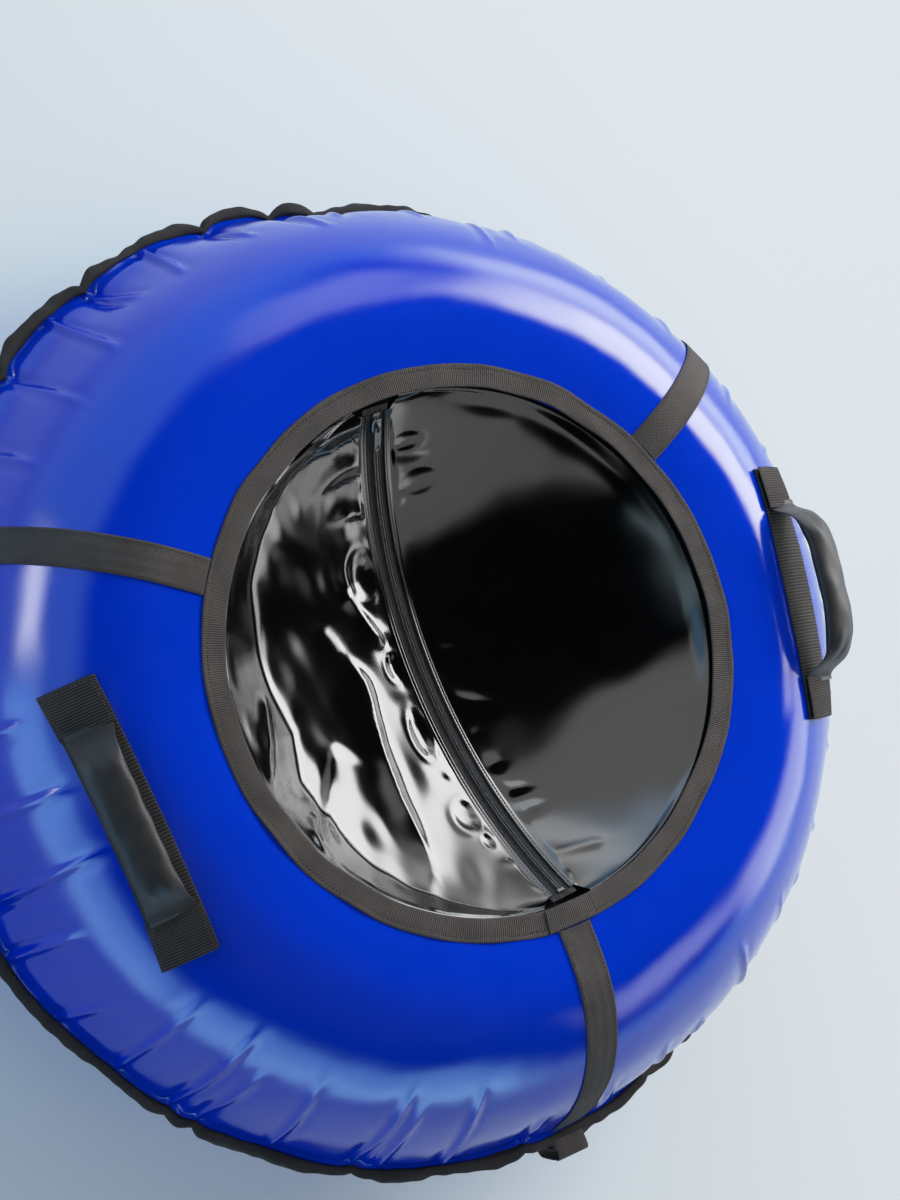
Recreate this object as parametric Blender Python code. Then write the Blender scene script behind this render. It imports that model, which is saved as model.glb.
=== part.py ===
"""Snow tube, 1.10 m across: a zipped two-disc cover over an inflated ring, with a sagging seat,
three webbing straps, two padded handles and a tow loop.

Metres, +Z up. The tube lies flat on z = 0 with its axis on Z. The tow loop is at -Y, the zip runs
along Y across the seat, and the handles are at -X (left) and +X (right).
"""

from math import asin, cos, hypot, pi, radians, sin, atan2

import bmesh
import bpy
from mathutils import Matrix, Quaternion, Vector

# ---------------------------------------------------------------- driving dimensions
OVERALL_RADIUS = 0.550  # outside of the rim binding
SEAM_HEIGHT = 0.186  # the two covers meet here, half way up
RING_CENTRE_RADIUS = 0.352  # crest of the inflated ring
SECTION_HALF_WIDTH = 0.1666
SECTION_HALF_HEIGHT = 0.186
SECTION_POWER = 1.74  # 2 is an ellipse; less is more lens-like
COVER_THICKNESS = 0.0012
FLANGE_RADIUS = 0.5335  # edge of both covers, inside the rim binding
RIM_BINDING_DEPTH = 0.0170
RIM_BINDING_HEIGHT = 0.0150
AZIMUTH_STEPS = 36

SEAT_RING_OUTER = 0.3000
SEAT_RING_INNER = 0.2750
SEAT_RING_HEIGHT = 0.3668  # top of the cover under the seat ring
WEBBING_THICKNESS = 0.0016
GAP = 0.0003

SEAT_SAG = 0.1068  # along the tilted plane of the zip
SEAT_LEAN = radians(7.0)  # the zip bows to the left as it sags
ZIP_TURN = radians(3.35)  # the zip's rear end lies to the left of its front end
ZIP_SHIFT = -0.0113  # and its middle to the left of the seat's
ZIP_HALF_CHORD = 0.2700
ZIP_END_DROP = 0.0045  # the zip's ends lie this far under the cover's edge
PANEL_THICKNESS = 0.0012
ZIP_TAPE_HALF_WIDTH = 0.0160
ZIP_TAPE_THICKNESS = 0.0009
ZIP_COIL_HALF_WIDTH = 0.0032
ZIP_COIL_HEIGHT = 0.0021
PANEL_EDGE_FROM_ZIP = 0.0115
PANEL_LIFT = 0.0009  # the panels' edges lie this far over the zip tapes
SLIDER_TRAVEL_END = 0.0200  # the slider's centre stops this far from the zip's end

STRAP_WIDTH = 0.0380
STRAP_AZIMUTHS = {"strap_right": 30.0, "strap_left": 150.0, "strap_front": 270.0}
STRAP_LIFT = 0.0006

HANDLE_X = 0.4005  # the handle's middle, measured from the tube's axis
HANDLE_Y = -0.0515
HANDLE_TURN = radians(7.0)  # the handles' front ends lie nearer to each other
HANDLE_LENGTH = 0.2850
HANDLE_WIDTH = 0.0500
HANDLE_LIFT = 0.0012
PATCH_LENGTH = 0.0480
LAYER_GAP = 0.0012  # between the handle's sewn layers, which twist along the cover
LOOP_RISE = 0.0450  # of the loop's centre line over the chord between its roots
LOOP_LEAN = radians(8.0)  # the loop leans towards the tube's axis
LOOP_ROOT = 0.020  # the first and last part of the chord, where the loop's fold begins
SLEEVE_START = 0.085
SLEEVE_WIDTH = 0.0420
SLEEVE_DEPTH = 0.0210
SLEEVE_WALL = 0.0009

TOW_LOOP_WIDTH = 0.0380
TOW_LOOP_LENGTH = 0.0400  # between the centres of its two round ends
TOW_LOOP_RADIUS = 0.0065
TOW_LOOP_WALL = 0.0020

TUBE_WALL = 0.0013
TUBE_CLEARANCE = 0.0010
VALVE_AZIMUTH = radians(95.0)  # the middle of a facet

# ---------------------------------------------------------------- scene and materials
for old in list(bpy.data.objects):
    bpy.data.objects.remove(old, do_unlink=True)


def material(name, color, roughness, metallic=0.0, coat=0.0):
    mat = bpy.data.materials.new(name)
    mat.use_nodes = True
    shader = mat.node_tree.nodes["Principled BSDF"]
    shader.inputs["Base Color"].default_value = (*color, 1.0)
    shader.inputs["Roughness"].default_value = roughness
    shader.inputs["Metallic"].default_value = metallic
    shader.inputs["Coat Weight"].default_value = coat
    mat.diffuse_color = (*color, 1.0)
    return mat


COVER_BLUE = (0.003, 0.030, 0.500)
WEBBING_GREY = (0.035, 0.031, 0.027)
GLOSS_BLACK = (0.006, 0.006, 0.007)
SLEEVE_GREY = (0.028, 0.027, 0.028)


def build(name, verts, faces, mat, origin=(0.0, 0.0, 0.0), sharp=35.0):
    """One closed object, its faces turned outwards, with its origin at the point given."""
    origin = Vector(origin)
    mesh = bpy.data.meshes.new(name)
    mesh.from_pydata([tuple(Vector(v) - origin) for v in verts], [], faces)
    bm = bmesh.new()
    bm.from_mesh(mesh)
    bmesh.ops.recalc_face_normals(bm, faces=bm.faces)
    bm.to_mesh(mesh)
    bm.free()
    mesh.shade_smooth()
    mesh.set_sharp_from_angle(angle=radians(sharp))
    obj = bpy.data.objects.new(name, mesh)
    obj.location = origin
    bpy.context.scene.collection.objects.link(obj)
    obj.data.materials.append(material(*mat) if mat[0] else None)
    return obj


def bridge(first, second, count, closed=True):
    """Quads between two rows of vertices that start at these indices."""
    last = count if closed else count - 1
    return [
        (first + i, first + (i + 1) % count, second + (i + 1) % count, second + i)
        for i in range(last)
    ]


def lofted(rings):
    """A solid through closed rings of points, with a flat cap on each end."""
    count = len(rings[0])
    verts = [point for ring in rings for point in ring]
    faces = [tuple(range(count)), tuple((len(rings) - 1) * count + i for i in range(count))]
    for k in range(len(rings) - 1):
        faces += bridge(k * count, (k + 1) * count, count)
    return verts, faces


def lofted_tube(outer, inner):
    """A tube between an outer and an inner skin, open at both ends."""
    count = len(outer[0])
    rows = len(outer)
    verts = [point for ring in outer for point in ring]
    verts += [point for ring in inner for point in ring]
    base = rows * count
    faces = []
    for k in range(rows - 1):
        faces += bridge(k * count, (k + 1) * count, count)
        faces += bridge(base + k * count, base + (k + 1) * count, count)
    faces += bridge(0, base, count)
    faces += bridge((rows - 1) * count, base + (rows - 1) * count, count)
    return verts, faces


def sheet_solid(top, bottom):
    """A sheet between two grids of points with the same rows and columns."""
    rows, cols = len(top), len(top[0])
    verts = [point for row in top for point in row]
    verts += [point for row in bottom for point in row]
    base = rows * cols
    faces = []
    for k in range(rows - 1):
        faces += bridge(k * cols, (k + 1) * cols, cols, closed=False)
        faces += bridge(base + k * cols, base + (k + 1) * cols, cols, closed=False)
    edge = [j for j in range(cols)]
    edge += [k * cols + cols - 1 for k in range(1, rows)]
    edge += [(rows - 1) * cols + j for j in range(cols - 2, -1, -1)]
    edge += [k * cols for k in range(rows - 2, 0, -1)]
    for a, b in zip(edge, edge[1:] + edge[:1]):
        faces.append((a, b, base + b, base + a))
    return verts, faces


def circle_ring(r, z):
    """One ring of the turned parts: a point at every step of azimuth."""
    return [
        (r * cos(2 * pi * k / AZIMUTH_STEPS), r * sin(2 * pi * k / AZIMUTH_STEPS), z)
        for k in range(AZIMUTH_STEPS)
    ]


def turned(profile):
    """A ring-shaped solid from a closed outline of (r, z)."""
    count = AZIMUTH_STEPS
    verts = [point for r, z in profile for point in circle_ring(r, z)]
    faces = []
    for k in range(len(profile)):
        faces += bridge(k * count, ((k + 1) % len(profile)) * count, count)
    return verts, faces


# ---------------------------------------------------------------- section of the tube
def section(t):
    """Point (r, z) of the inflated section at angle t, 0 outwards and 90 degrees up."""
    power = 2.0 / SECTION_POWER
    c, s = cos(t), sin(t)
    r = RING_CENTRE_RADIUS + SECTION_HALF_WIDTH * (1 if c > 0 else -1) * abs(c) ** power
    z = SEAM_HEIGHT + SECTION_HALF_HEIGHT * (1 if s > 0 else -1) * abs(s) ** power
    return r, z


FLANK_ANGLES = [radians(a) for a in (75, 60, 47, 35, 24, 14)]


def top_outline():
    """Outer face of the top cover, from the seat ring to the rim."""
    points = [
        (SEAT_RING_INNER + 0.0025, SEAT_RING_HEIGHT),
        (SEAT_RING_OUTER, SEAT_RING_HEIGHT + 0.0006),
        (0.326, SEAT_RING_HEIGHT + 0.0038),
        section(radians(90)),
    ]
    points += [section(t) for t in FLANK_ANGLES]
    points += [
        (0.5210, SEAM_HEIGHT + 0.0150),
        (0.5262, SEAM_HEIGHT + 0.0030),
        (FLANGE_RADIUS, SEAM_HEIGHT + GAP / 2 + COVER_THICKNESS),
    ]
    return points


def bottom_outline():
    """Outer face of the bottom cover, from the rim down to the flat base."""
    points = [
        (FLANGE_RADIUS, SEAM_HEIGHT - GAP / 2 - COVER_THICKNESS),
        (0.5262, SEAM_HEIGHT - 0.0030),
        (0.5210, SEAM_HEIGHT - 0.0150),
    ]
    for t in reversed(FLANK_ANGLES[1:]):
        r, z = section(t)
        points.append((r, 2 * SEAM_HEIGHT - z))
    points += [(0.3930, 0.0052), (0.3720, 0.0)]
    return points


def inset(points, depth, keep_last=None):
    """The outline moved inwards, to the left of its direction of travel when depth is positive."""
    moved = []
    for i, (r, z) in enumerate(points):
        before = points[max(i - 1, 0)]
        after = points[min(i + 1, len(points) - 1)]
        first = Vector((r - before[0], z - before[1]))
        second = Vector((after[0] - r, after[1] - z))
        if first.length < 1e-9:
            first = second
        if second.length < 1e-9:
            second = first
        first.normalize()
        second.normalize()
        normal = Vector((-(first.y + second.y), first.x + second.x)).normalized()
        stretch = 1.0 / max(0.6, abs(normal.dot(Vector((-first.y, first.x)))))
        moved.append((r + normal.x * depth * stretch, z + normal.y * depth * stretch))
    return moved


def top_radius_height(r):
    """Height of the smooth top cover at radius r."""
    if r <= SEAT_RING_OUTER:
        return SEAT_RING_HEIGHT
    if r <= RING_CENTRE_RADIUS:
        u = (r - SEAT_RING_OUTER) / (RING_CENTRE_RADIUS - SEAT_RING_OUTER)
        crest = SEAM_HEIGHT + SECTION_HALF_HEIGHT
        return SEAT_RING_HEIGHT + 0.0006 + (crest - SEAT_RING_HEIGHT - 0.0006) * (2 * u - u * u)
    u = min((r - RING_CENTRE_RADIUS) / SECTION_HALF_WIDTH, 0.999)
    return SEAM_HEIGHT + SECTION_HALF_HEIGHT * (1 - u**SECTION_POWER) ** (1 / SECTION_POWER)


def surface_normal(x, y):
    """Outward normal of the smooth top cover."""
    r = hypot(x, y)
    step = 0.0005
    slope = (top_radius_height(r + step) - top_radius_height(r - step)) / (2 * step)
    return Vector((-slope * x / r, -slope * y / r, 1.0)).normalized()


def surface_point(x, y, lift=0.0):
    return Vector((x, y, top_radius_height(hypot(x, y)))) + surface_normal(x, y) * lift


# ---------------------------------------------------------------- covers and bindings
outer = top_outline()
inner = inset(outer, -COVER_THICKNESS)
inner[0] = (outer[0][0], outer[0][1] - COVER_THICKNESS)
inner[1] = (outer[1][0], outer[1][1] - COVER_THICKNESS)
inner[-2] = (0.5250, SEAM_HEIGHT + 0.0016)
inner[-1] = (FLANGE_RADIUS, SEAM_HEIGHT + GAP / 2)
build("top_cover", *turned(outer + inner[::-1]), ("cover_blue_top", COVER_BLUE, 0.26, 0.0, 0.4))

outer = bottom_outline()
inner = inset(outer, -COVER_THICKNESS)
inner[0] = (FLANGE_RADIUS, SEAM_HEIGHT - GAP / 2)
inner[1] = (0.5250, SEAM_HEIGHT - 0.0016)
inner[-1] = (outer[-1][0] - 0.0003, COVER_THICKNESS)
rings = [circle_ring(r, z) for r, z in outer[::-1] + inner]
build("bottom_cover", *lofted(rings), ("cover_blue_base", COVER_BLUE, 0.30, 0.0, 0.3))

centre = OVERALL_RADIUS - RIM_BINDING_DEPTH / 2
half_depth, half_height = RIM_BINDING_DEPTH / 2, RIM_BINDING_HEIGHT / 2
slot = COVER_THICKNESS + GAP / 2 + 0.0005
outline = [
    (centre - half_depth + 0.0002, SEAM_HEIGHT - slot),
    (centre - half_depth * 0.75, SEAM_HEIGHT - half_height * 0.72),
    (centre, SEAM_HEIGHT - half_height),
    (centre + half_depth * 0.74, SEAM_HEIGHT - half_height * 0.66),
    (centre + half_depth, SEAM_HEIGHT),
    (centre + half_depth * 0.74, SEAM_HEIGHT + half_height * 0.66),
    (centre, SEAM_HEIGHT + half_height),
    (centre - half_depth * 0.75, SEAM_HEIGHT + half_height * 0.72),
    (centre - half_depth + 0.0002, SEAM_HEIGHT + slot),
    (FLANGE_RADIUS + 0.0006, SEAM_HEIGHT + slot),
    (FLANGE_RADIUS + 0.0006, SEAM_HEIGHT - slot),
]
# The covers' roots flare inside the binding's mouth, so its two lips start outside them.
outline[0] = (0.5300, SEAM_HEIGHT - slot - 0.0006)
outline[8] = (0.5300, SEAM_HEIGHT + slot + 0.0006)
outline[1] = (0.5308, SEAM_HEIGHT - half_height * 0.72)
outline[7] = (0.5308, SEAM_HEIGHT + half_height * 0.72)
build("rim_binding", *turned(outline), ("binding_black", (0.012, 0.012, 0.013), 0.85))

ring_low = SEAT_RING_HEIGHT + GAP
outline = [
    (SEAT_RING_INNER, ring_low),
    (SEAT_RING_OUTER, ring_low + 0.0006),
    (SEAT_RING_OUTER, ring_low + 0.0006 + WEBBING_THICKNESS),
    (SEAT_RING_INNER, ring_low + WEBBING_THICKNESS),
]
build("seat_ring_binding", *turned(outline), ("webbing_grey_ring", WEBBING_GREY, 0.7))

# ---------------------------------------------------------------- straps on the cover
strap_outline = [p for p in top_outline()[1:-2]]
strap_outline[0] = (SEAT_RING_OUTER + GAP, SEAT_RING_HEIGHT + 0.0006)
strap_outline.append((0.5268, SEAM_HEIGHT + 0.0095))
for name, azimuth in STRAP_AZIMUTHS.items():
    turn = Matrix.Rotation(radians(azimuth), 3, "Z")
    low = inset(strap_outline, STRAP_LIFT)
    high = inset(strap_outline, STRAP_LIFT + WEBBING_THICKNESS)
    low[0] = (strap_outline[0][0], low[0][1])
    high[0] = (strap_outline[0][0], high[0][1])
    half = STRAP_WIDTH / 2
    rings = [
        [
            turn @ Vector((a[0], -half, a[1])),
            turn @ Vector((a[0], half, a[1])),
            turn @ Vector((b[0], half, b[1])),
            turn @ Vector((b[0], -half, b[1])),
        ]
        for a, b in zip(low, high)
    ]
    build(name, *lofted(rings), ("webbing_grey_" + name, WEBBING_GREY, 0.7))

# The ends of the seat ring's webbing overlap here, at the front strap.
low_z = ring_low + 0.0006 + WEBBING_THICKNESS + GAP
rows = []
for k in range(5):
    a = radians(264.5 + 11.0 * k / 4)
    rows.append(
        [
            (r * cos(a), r * sin(a), z)
            for r, z in (
                (SEAT_RING_INNER + 0.001, low_z),
                (SEAT_RING_OUTER - 0.001, low_z),
                (SEAT_RING_OUTER - 0.001, low_z + WEBBING_THICKNESS),
                (SEAT_RING_INNER + 0.001, low_z + WEBBING_THICKNESS),
            )
        ]
    )
build("seat_ring_lap", *lofted(rows), ("webbing_grey_lap", WEBBING_GREY, 0.7))

# ---------------------------------------------------------------- zip across the seat
ZIP_RADIUS = (ZIP_HALF_CHORD**2 + SEAT_SAG**2) / (2 * SEAT_SAG)
ZIP_HALF_ANGLE = asin(ZIP_HALF_CHORD / ZIP_RADIUS)
ZIP_END_HEIGHT = SEAT_RING_HEIGHT - COVER_THICKNESS - ZIP_END_DROP
ZIP_LINE = Vector((-sin(ZIP_TURN), cos(ZIP_TURN), 0.0))
ZIP_SIDE = Vector((cos(ZIP_TURN), sin(ZIP_TURN), 0.0))
SAG_DIRECTION = -ZIP_SIDE * sin(SEAT_LEAN) - Vector((0, 0, 1)) * cos(SEAT_LEAN)
ZIP_ACROSS = ZIP_SIDE * cos(SEAT_LEAN) - Vector((0, 0, 1)) * sin(SEAT_LEAN)
ZIP_CENTRE = Vector((ZIP_SHIFT, 0.0, ZIP_END_HEIGHT)) - SAG_DIRECTION * (ZIP_RADIUS - SEAT_SAG)


def zip_frame(angle):
    """Point, direction of travel and upward normal of the zip; the angle is 0 at the lowest point."""
    out = SAG_DIRECTION * cos(angle) + ZIP_LINE * sin(angle)
    along = ZIP_LINE * cos(angle) - SAG_DIRECTION * sin(angle)
    return ZIP_CENTRE + out * ZIP_RADIUS, along, -out


def zip_point(angle, across, up):
    point, _, normal = zip_frame(angle)
    return point + ZIP_ACROSS * across + normal * up


ZIP_STEPS = 16
zip_angles = [ZIP_HALF_ANGLE * (2 * k / ZIP_STEPS - 1) for k in range(ZIP_STEPS + 1)]
for side, sign in (("left", -1), ("right", 1)):
    rings = [
        [
            zip_point(a, sign * 0.0003, -ZIP_TAPE_THICKNESS),
            zip_point(a, sign * ZIP_TAPE_HALF_WIDTH, -ZIP_TAPE_THICKNESS),
            zip_point(a, sign * ZIP_TAPE_HALF_WIDTH, 0.0),
            zip_point(a, sign * 0.0003, 0.0),
        ]
        for a in zip_angles
    ]
    build("zip_tape_" + side, *lofted(rings), ("zip_tape_black_" + side, (0.012, 0.012, 0.013), 0.8))
    coil = []
    for a in [x * 0.965 for x in zip_angles]:
        w, h = ZIP_COIL_HALF_WIDTH, ZIP_COIL_HEIGHT
        coil.append(
            [
                zip_point(a, sign * across, up)
                for across, up in (
                    (0.0003, 2 * GAP),
                    (w, 2 * GAP),
                    (w, 2 * GAP + h * 0.55),
                    (w * 0.6, 2 * GAP + h),
                    (0.0003, 2 * GAP + h),
                )
            ]
        )
    build("zip_coil_" + side, *lofted(coil), ("zip_coil_black_" + side, (0.015, 0.015, 0.016), 0.45))


def box_on_zip(angle, length, across, low, high):
    """A box that sits across the zip, centred at the angle."""
    half = length / 2 / ZIP_RADIUS
    return [
        [
            zip_point(a, -across, low),
            zip_point(a, across, low),
            zip_point(a, across, high),
            zip_point(a, -across, high),
        ]
        for a in (angle - half, angle + half)
    ]


METAL = (0.20, 0.20, 0.21)
stop_angle = ZIP_HALF_ANGLE * 0.965 + 0.0026 / ZIP_RADIUS
build(
    "zip_stop_rear",
    *lofted(box_on_zip(stop_angle, 0.0036, 0.0040, 2 * GAP, 0.0030)),
    ("zip_stop_metal_rear", METAL, 0.35, 1.0),
)
build(
    "zip_stop_front",
    *lofted(box_on_zip(-stop_angle, 0.0036, 0.0040, 2 * GAP, 0.0030)),
    ("zip_stop_metal_front", METAL, 0.35, 1.0),
)

# The slider is a saddle over the closed coil, with a bridge that carries the pull.
SLIDER_ANGLE = ZIP_HALF_ANGLE - SLIDER_TRAVEL_END / ZIP_RADIUS
BRIDGE_HEIGHT = 0.0094
PULL_PIN_HEIGHT = 0.0065
slider_point, slider_along, slider_up = zip_frame(SLIDER_ANGLE)


def on_slider(along, across, up):
    return slider_point + slider_along * along + ZIP_ACROSS * across + slider_up * up


outline = [
    (-0.0060, 0.0010),
    (-0.0041, 0.0010),
    (-0.0041, 0.0037),
    (0.0041, 0.0037),
    (0.0041, 0.0010),
    (0.0060, 0.0010),
    (0.0060, 0.0044),
    (0.0050, 0.0052),
    (-0.0050, 0.0052),
    (-0.0060, 0.0044),
]
shape = []
for along, scale in ((-0.0070, 0.86), (-0.0030, 1.0), (0.0040, 1.0), (0.0070, 0.90)):
    shape.append(
        [on_slider(along, a * (scale if abs(a) > 0.0045 else 1.0), u) for a, u in outline]
    )
slider = build(
    "zip_slider", *lofted(shape), ("slider_gunmetal", METAL, 0.32, 1.0), origin=ZIP_CENTRE
)
# The bridge is a low arch joined to the saddle, and the pull's eye goes round it.
arch = []
for k in range(7):
    a = pi * k / 6
    mid_along, mid_up = -0.0046 * cos(a), 0.0048 + (BRIDGE_HEIGHT - 0.0054) * sin(a)
    out_along, out_up = cos(a) * -1.0, sin(a)
    arch.append(
        [
            on_slider(mid_along + out_along * d, w, mid_up + out_up * d)
            for d, w in ((-0.0006, -0.0013), (0.0006, -0.0013), (0.0006, 0.0013), (-0.0006, 0.0013))
        ]
    )
bridge_object = build(
    "slider_bridge_cutter", *lofted(arch), ("slider_gunmetal_bridge", METAL, 0.32, 1.0)
)
bridge_object.hide_render = True
bridge_object.display_type = "WIRE"
join = slider.modifiers.new("bridge", "BOOLEAN")
join.operation = "UNION"
join.solver = "EXACT"
join.object = bridge_object

# The pull: a flat tab with an eye round the bridge and a hole at its far end, lying to the front.
PULL_LENGTH = 0.0300
PULL_PIN = on_slider(0.0, 0.0, PULL_PIN_HEIGHT)


def on_pull(along, across, up):
    return PULL_PIN + slider_along * along + ZIP_ACROSS * across + slider_up * up


def ring_of(along_centre, half_along, half_across, up, count=16, square=1.0):
    ring = []
    for k in range(count):
        a = 2 * pi * k / count
        c, s = cos(a), sin(a)
        power = square
        ring.append(
            on_pull(
                along_centre + half_along * (1 if c > 0 else -1) * abs(c) ** power,
                half_across * (1 if s > 0 else -1) * abs(s) ** power,
                up,
            )
        )
    return ring


PULL_LOW, PULL_HIGH = -0.0006, 0.0006
outer_low = ring_of(0.0010 - PULL_LENGTH / 2, PULL_LENGTH / 2, 0.0040, PULL_LOW, 20, 0.55)
outer_high = ring_of(0.0010 - PULL_LENGTH / 2, PULL_LENGTH / 2, 0.0040, PULL_HIGH, 20, 0.55)
pull = build(
    "zip_pull", *lofted([outer_low, outer_high]), ("pull_gunmetal", METAL, 0.3, 1.0), origin=PULL_PIN
)
for label, where, along, across in (("eye", -0.0044, 0.0034, 0.0023), ("hole", -0.0245, 0.0026, 0.0020)):
    low = ring_of(where, along, across, -0.0100, 12)
    high = ring_of(where, along, across, 0.0100, 12)
    cutter = build("pull_" + label + "_cutter", *lofted([low, high]), ("pull_" + label, METAL, 0.3, 1.0))
    cutter.hide_render = True
    cutter.display_type = "WIRE"
    cut = pull.modifiers.new(label, "BOOLEAN")
    cut.operation = "DIFFERENCE"
    cut.solver = "EXACT"
    cut.object = cutter

# ---------------------------------------------------------------- seat panels
LAP_HEIGHT = SEAT_RING_HEIGHT - COVER_THICKNESS - GAP  # top of the panel's edge, under the cover
PANEL_FAN = radians(84.0)
PANEL_ROWS = 14
PANEL_COLUMNS = {
    -1: (0.15, 0.35, 0.55, 0.66, 0.73, 0.80, 0.88, 1.0),
    1: (1 / 6, 2 / 6, 3 / 6, 4 / 6, 5 / 6, 1.0),
}
LEFT_BEND = 0.75  # share of the left panel's width that lies in its slack bottom
zip_rear, zip_front = zip_point(ZIP_HALF_ANGLE, 0, 0), zip_point(-ZIP_HALF_ANGLE, 0, 0)
REAR_OFFSET = atan2(-zip_rear.x, zip_rear.y)
FRONT_OFFSET = atan2(zip_front.x, -zip_front.y)


def ring_place(sign, fan, radius, height):
    """A place at the seat ring; the fan opens evenly on both sides of the zip's ends."""
    share = sin(fan) / sin(PANEL_FAN)
    offset = (REAR_OFFSET + FRONT_OFFSET) / 2 + (REAR_OFFSET - FRONT_OFFSET) / 2 * share
    azimuth = (fan if sign > 0 else pi - fan) + offset
    return Vector((radius * cos(azimuth), radius * sin(azimuth), height))


def panel_height(sign, u):
    """Share of the panel's drop at this share of its width, from the zip out to the ring."""
    if sign > 0:
        return u**1.7

    def raw(q):
        t = q - LEFT_BEND
        return 0.5 * q + 0.5 / (1 - LEFT_BEND) * (t + hypot(t, 0.05)) / 2

    return (raw(u) - raw(0)) / (raw(1) - raw(0))


def seat_panel(sign):
    """Rows go from the rear of the seat to the front; columns from the zip out to the ring."""
    top, bottom = [], []
    rim = SEAT_RING_INNER - 0.0010
    for i in range(PANEL_ROWS + 1):
        fan = PANEL_FAN * (1 - 2 * i / PANEL_ROWS)
        angle = (ZIP_HALF_ANGLE - 0.016) * sin(fan) / sin(PANEL_FAN)
        row_top, row_bottom = [], []
        for across in (PANEL_EDGE_FROM_ZIP, ZIP_TAPE_HALF_WIDTH + 0.0018):
            row_bottom.append(zip_point(angle, sign * across, PANEL_LIFT))
            row_top.append(zip_point(angle, sign * across, PANEL_LIFT + PANEL_THICKNESS))
        start = row_top[-1]
        end = ring_place(sign, fan, rim, LAP_HEIGHT - 0.0012)
        drop = end.z - start.z
        for u in PANEL_COLUMNS[sign]:
            point = start.lerp(end, u)
            point.z = start.z + drop * panel_height(sign, u)
            row_top.append(point)
            thick = PANEL_THICKNESS * (1.0 + 0.35 * (1 - u))
            row_bottom.append(point - Vector((0, 0, thick)))
        for r in (SEAT_RING_INNER + 0.0035, SEAT_RING_OUTER - 0.0040):
            point = ring_place(sign, fan, r, LAP_HEIGHT)
            row_top.append(point)
            row_bottom.append(point - Vector((0, 0, PANEL_THICKNESS)))
        top.append(row_top)
        bottom.append(row_bottom)
    return sheet_solid(top, bottom)


build("seat_panel_left", *seat_panel(-1), ("gloss_black_left", GLOSS_BLACK, 0.12, 0.0, 0.6))
build("seat_panel_right", *seat_panel(1), ("gloss_black_right", GLOSS_BLACK, 0.12, 0.0, 0.6))

# ---------------------------------------------------------------- handles


def handle_place(sign, station):
    """A place in plan on the handle's line, this far to the rear of its middle."""
    return (
        sign * (HANDLE_X + station * sin(HANDLE_TURN)),
        HANDLE_Y + station * cos(HANDLE_TURN),
    )


def strip_on_cover(sign, stations, lift, thickness, width):
    """A strap laid flat on the cover along the handle's line, through these stations."""
    rings = []
    line = Vector((sign * sin(HANDLE_TURN), cos(HANDLE_TURN), 0))
    for station in stations:
        x, y = handle_place(sign, station)
        normal = surface_normal(x, y)
        along = line - normal * normal.dot(line)
        across = along.normalized().cross(normal)
        middle = surface_point(x, y, lift)
        rings.append(
            [
                middle - across * width / 2,
                middle + across * width / 2,
                middle + across * width / 2 + normal * thickness,
                middle - across * width / 2 + normal * thickness,
            ]
        )
    return lofted(rings)


def handle_axis(sign):
    """The two roots of the loop, where it comes out from under the patches."""
    lift = HANDLE_LIFT + 2 * WEBBING_THICKNESS + GAP
    reach = HANDLE_LENGTH / 2 - PATCH_LENGTH
    front = surface_point(*handle_place(sign, -reach), lift)
    rear = surface_point(*handle_place(sign, reach), lift)
    return front, rear


def loop_frames(sign, shares):
    """Frames along the loop: point, direction, across and outward."""
    front, rear = handle_axis(sign)
    chord = rear - front
    along = chord.normalized()
    outward = surface_normal(*handle_place(sign, 0))
    outward = (outward - along * outward.dot(along)).normalized()
    outward = Quaternion(along, -sign * LOOP_LEAN) @ outward
    across = along.cross(outward)

    def point(share):
        rise = LOOP_RISE * (1 - abs(2 * share - 1) ** 4) ** 0.6
        return front + chord * share + outward * rise

    frames = []
    for share in shares:
        here = point(share)
        ahead = point(min(share + 0.01, 0.9999)) - point(max(share - 0.01, 0.0001))
        ahead.normalize()
        up = across.cross(ahead) * -1.0
        if up.dot(outward) < 0:
            up = -up
        frames.append((here, ahead, across, up))
    return frames


def oval(frame, half_across, half_up, count):
    here, _, across, up = frame
    ring = []
    for k in range(count):
        a = 2 * pi * (k + 0.5) / count
        ring.append(here + across * half_across * cos(a) + up * half_up * sin(a))
    return ring


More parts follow.
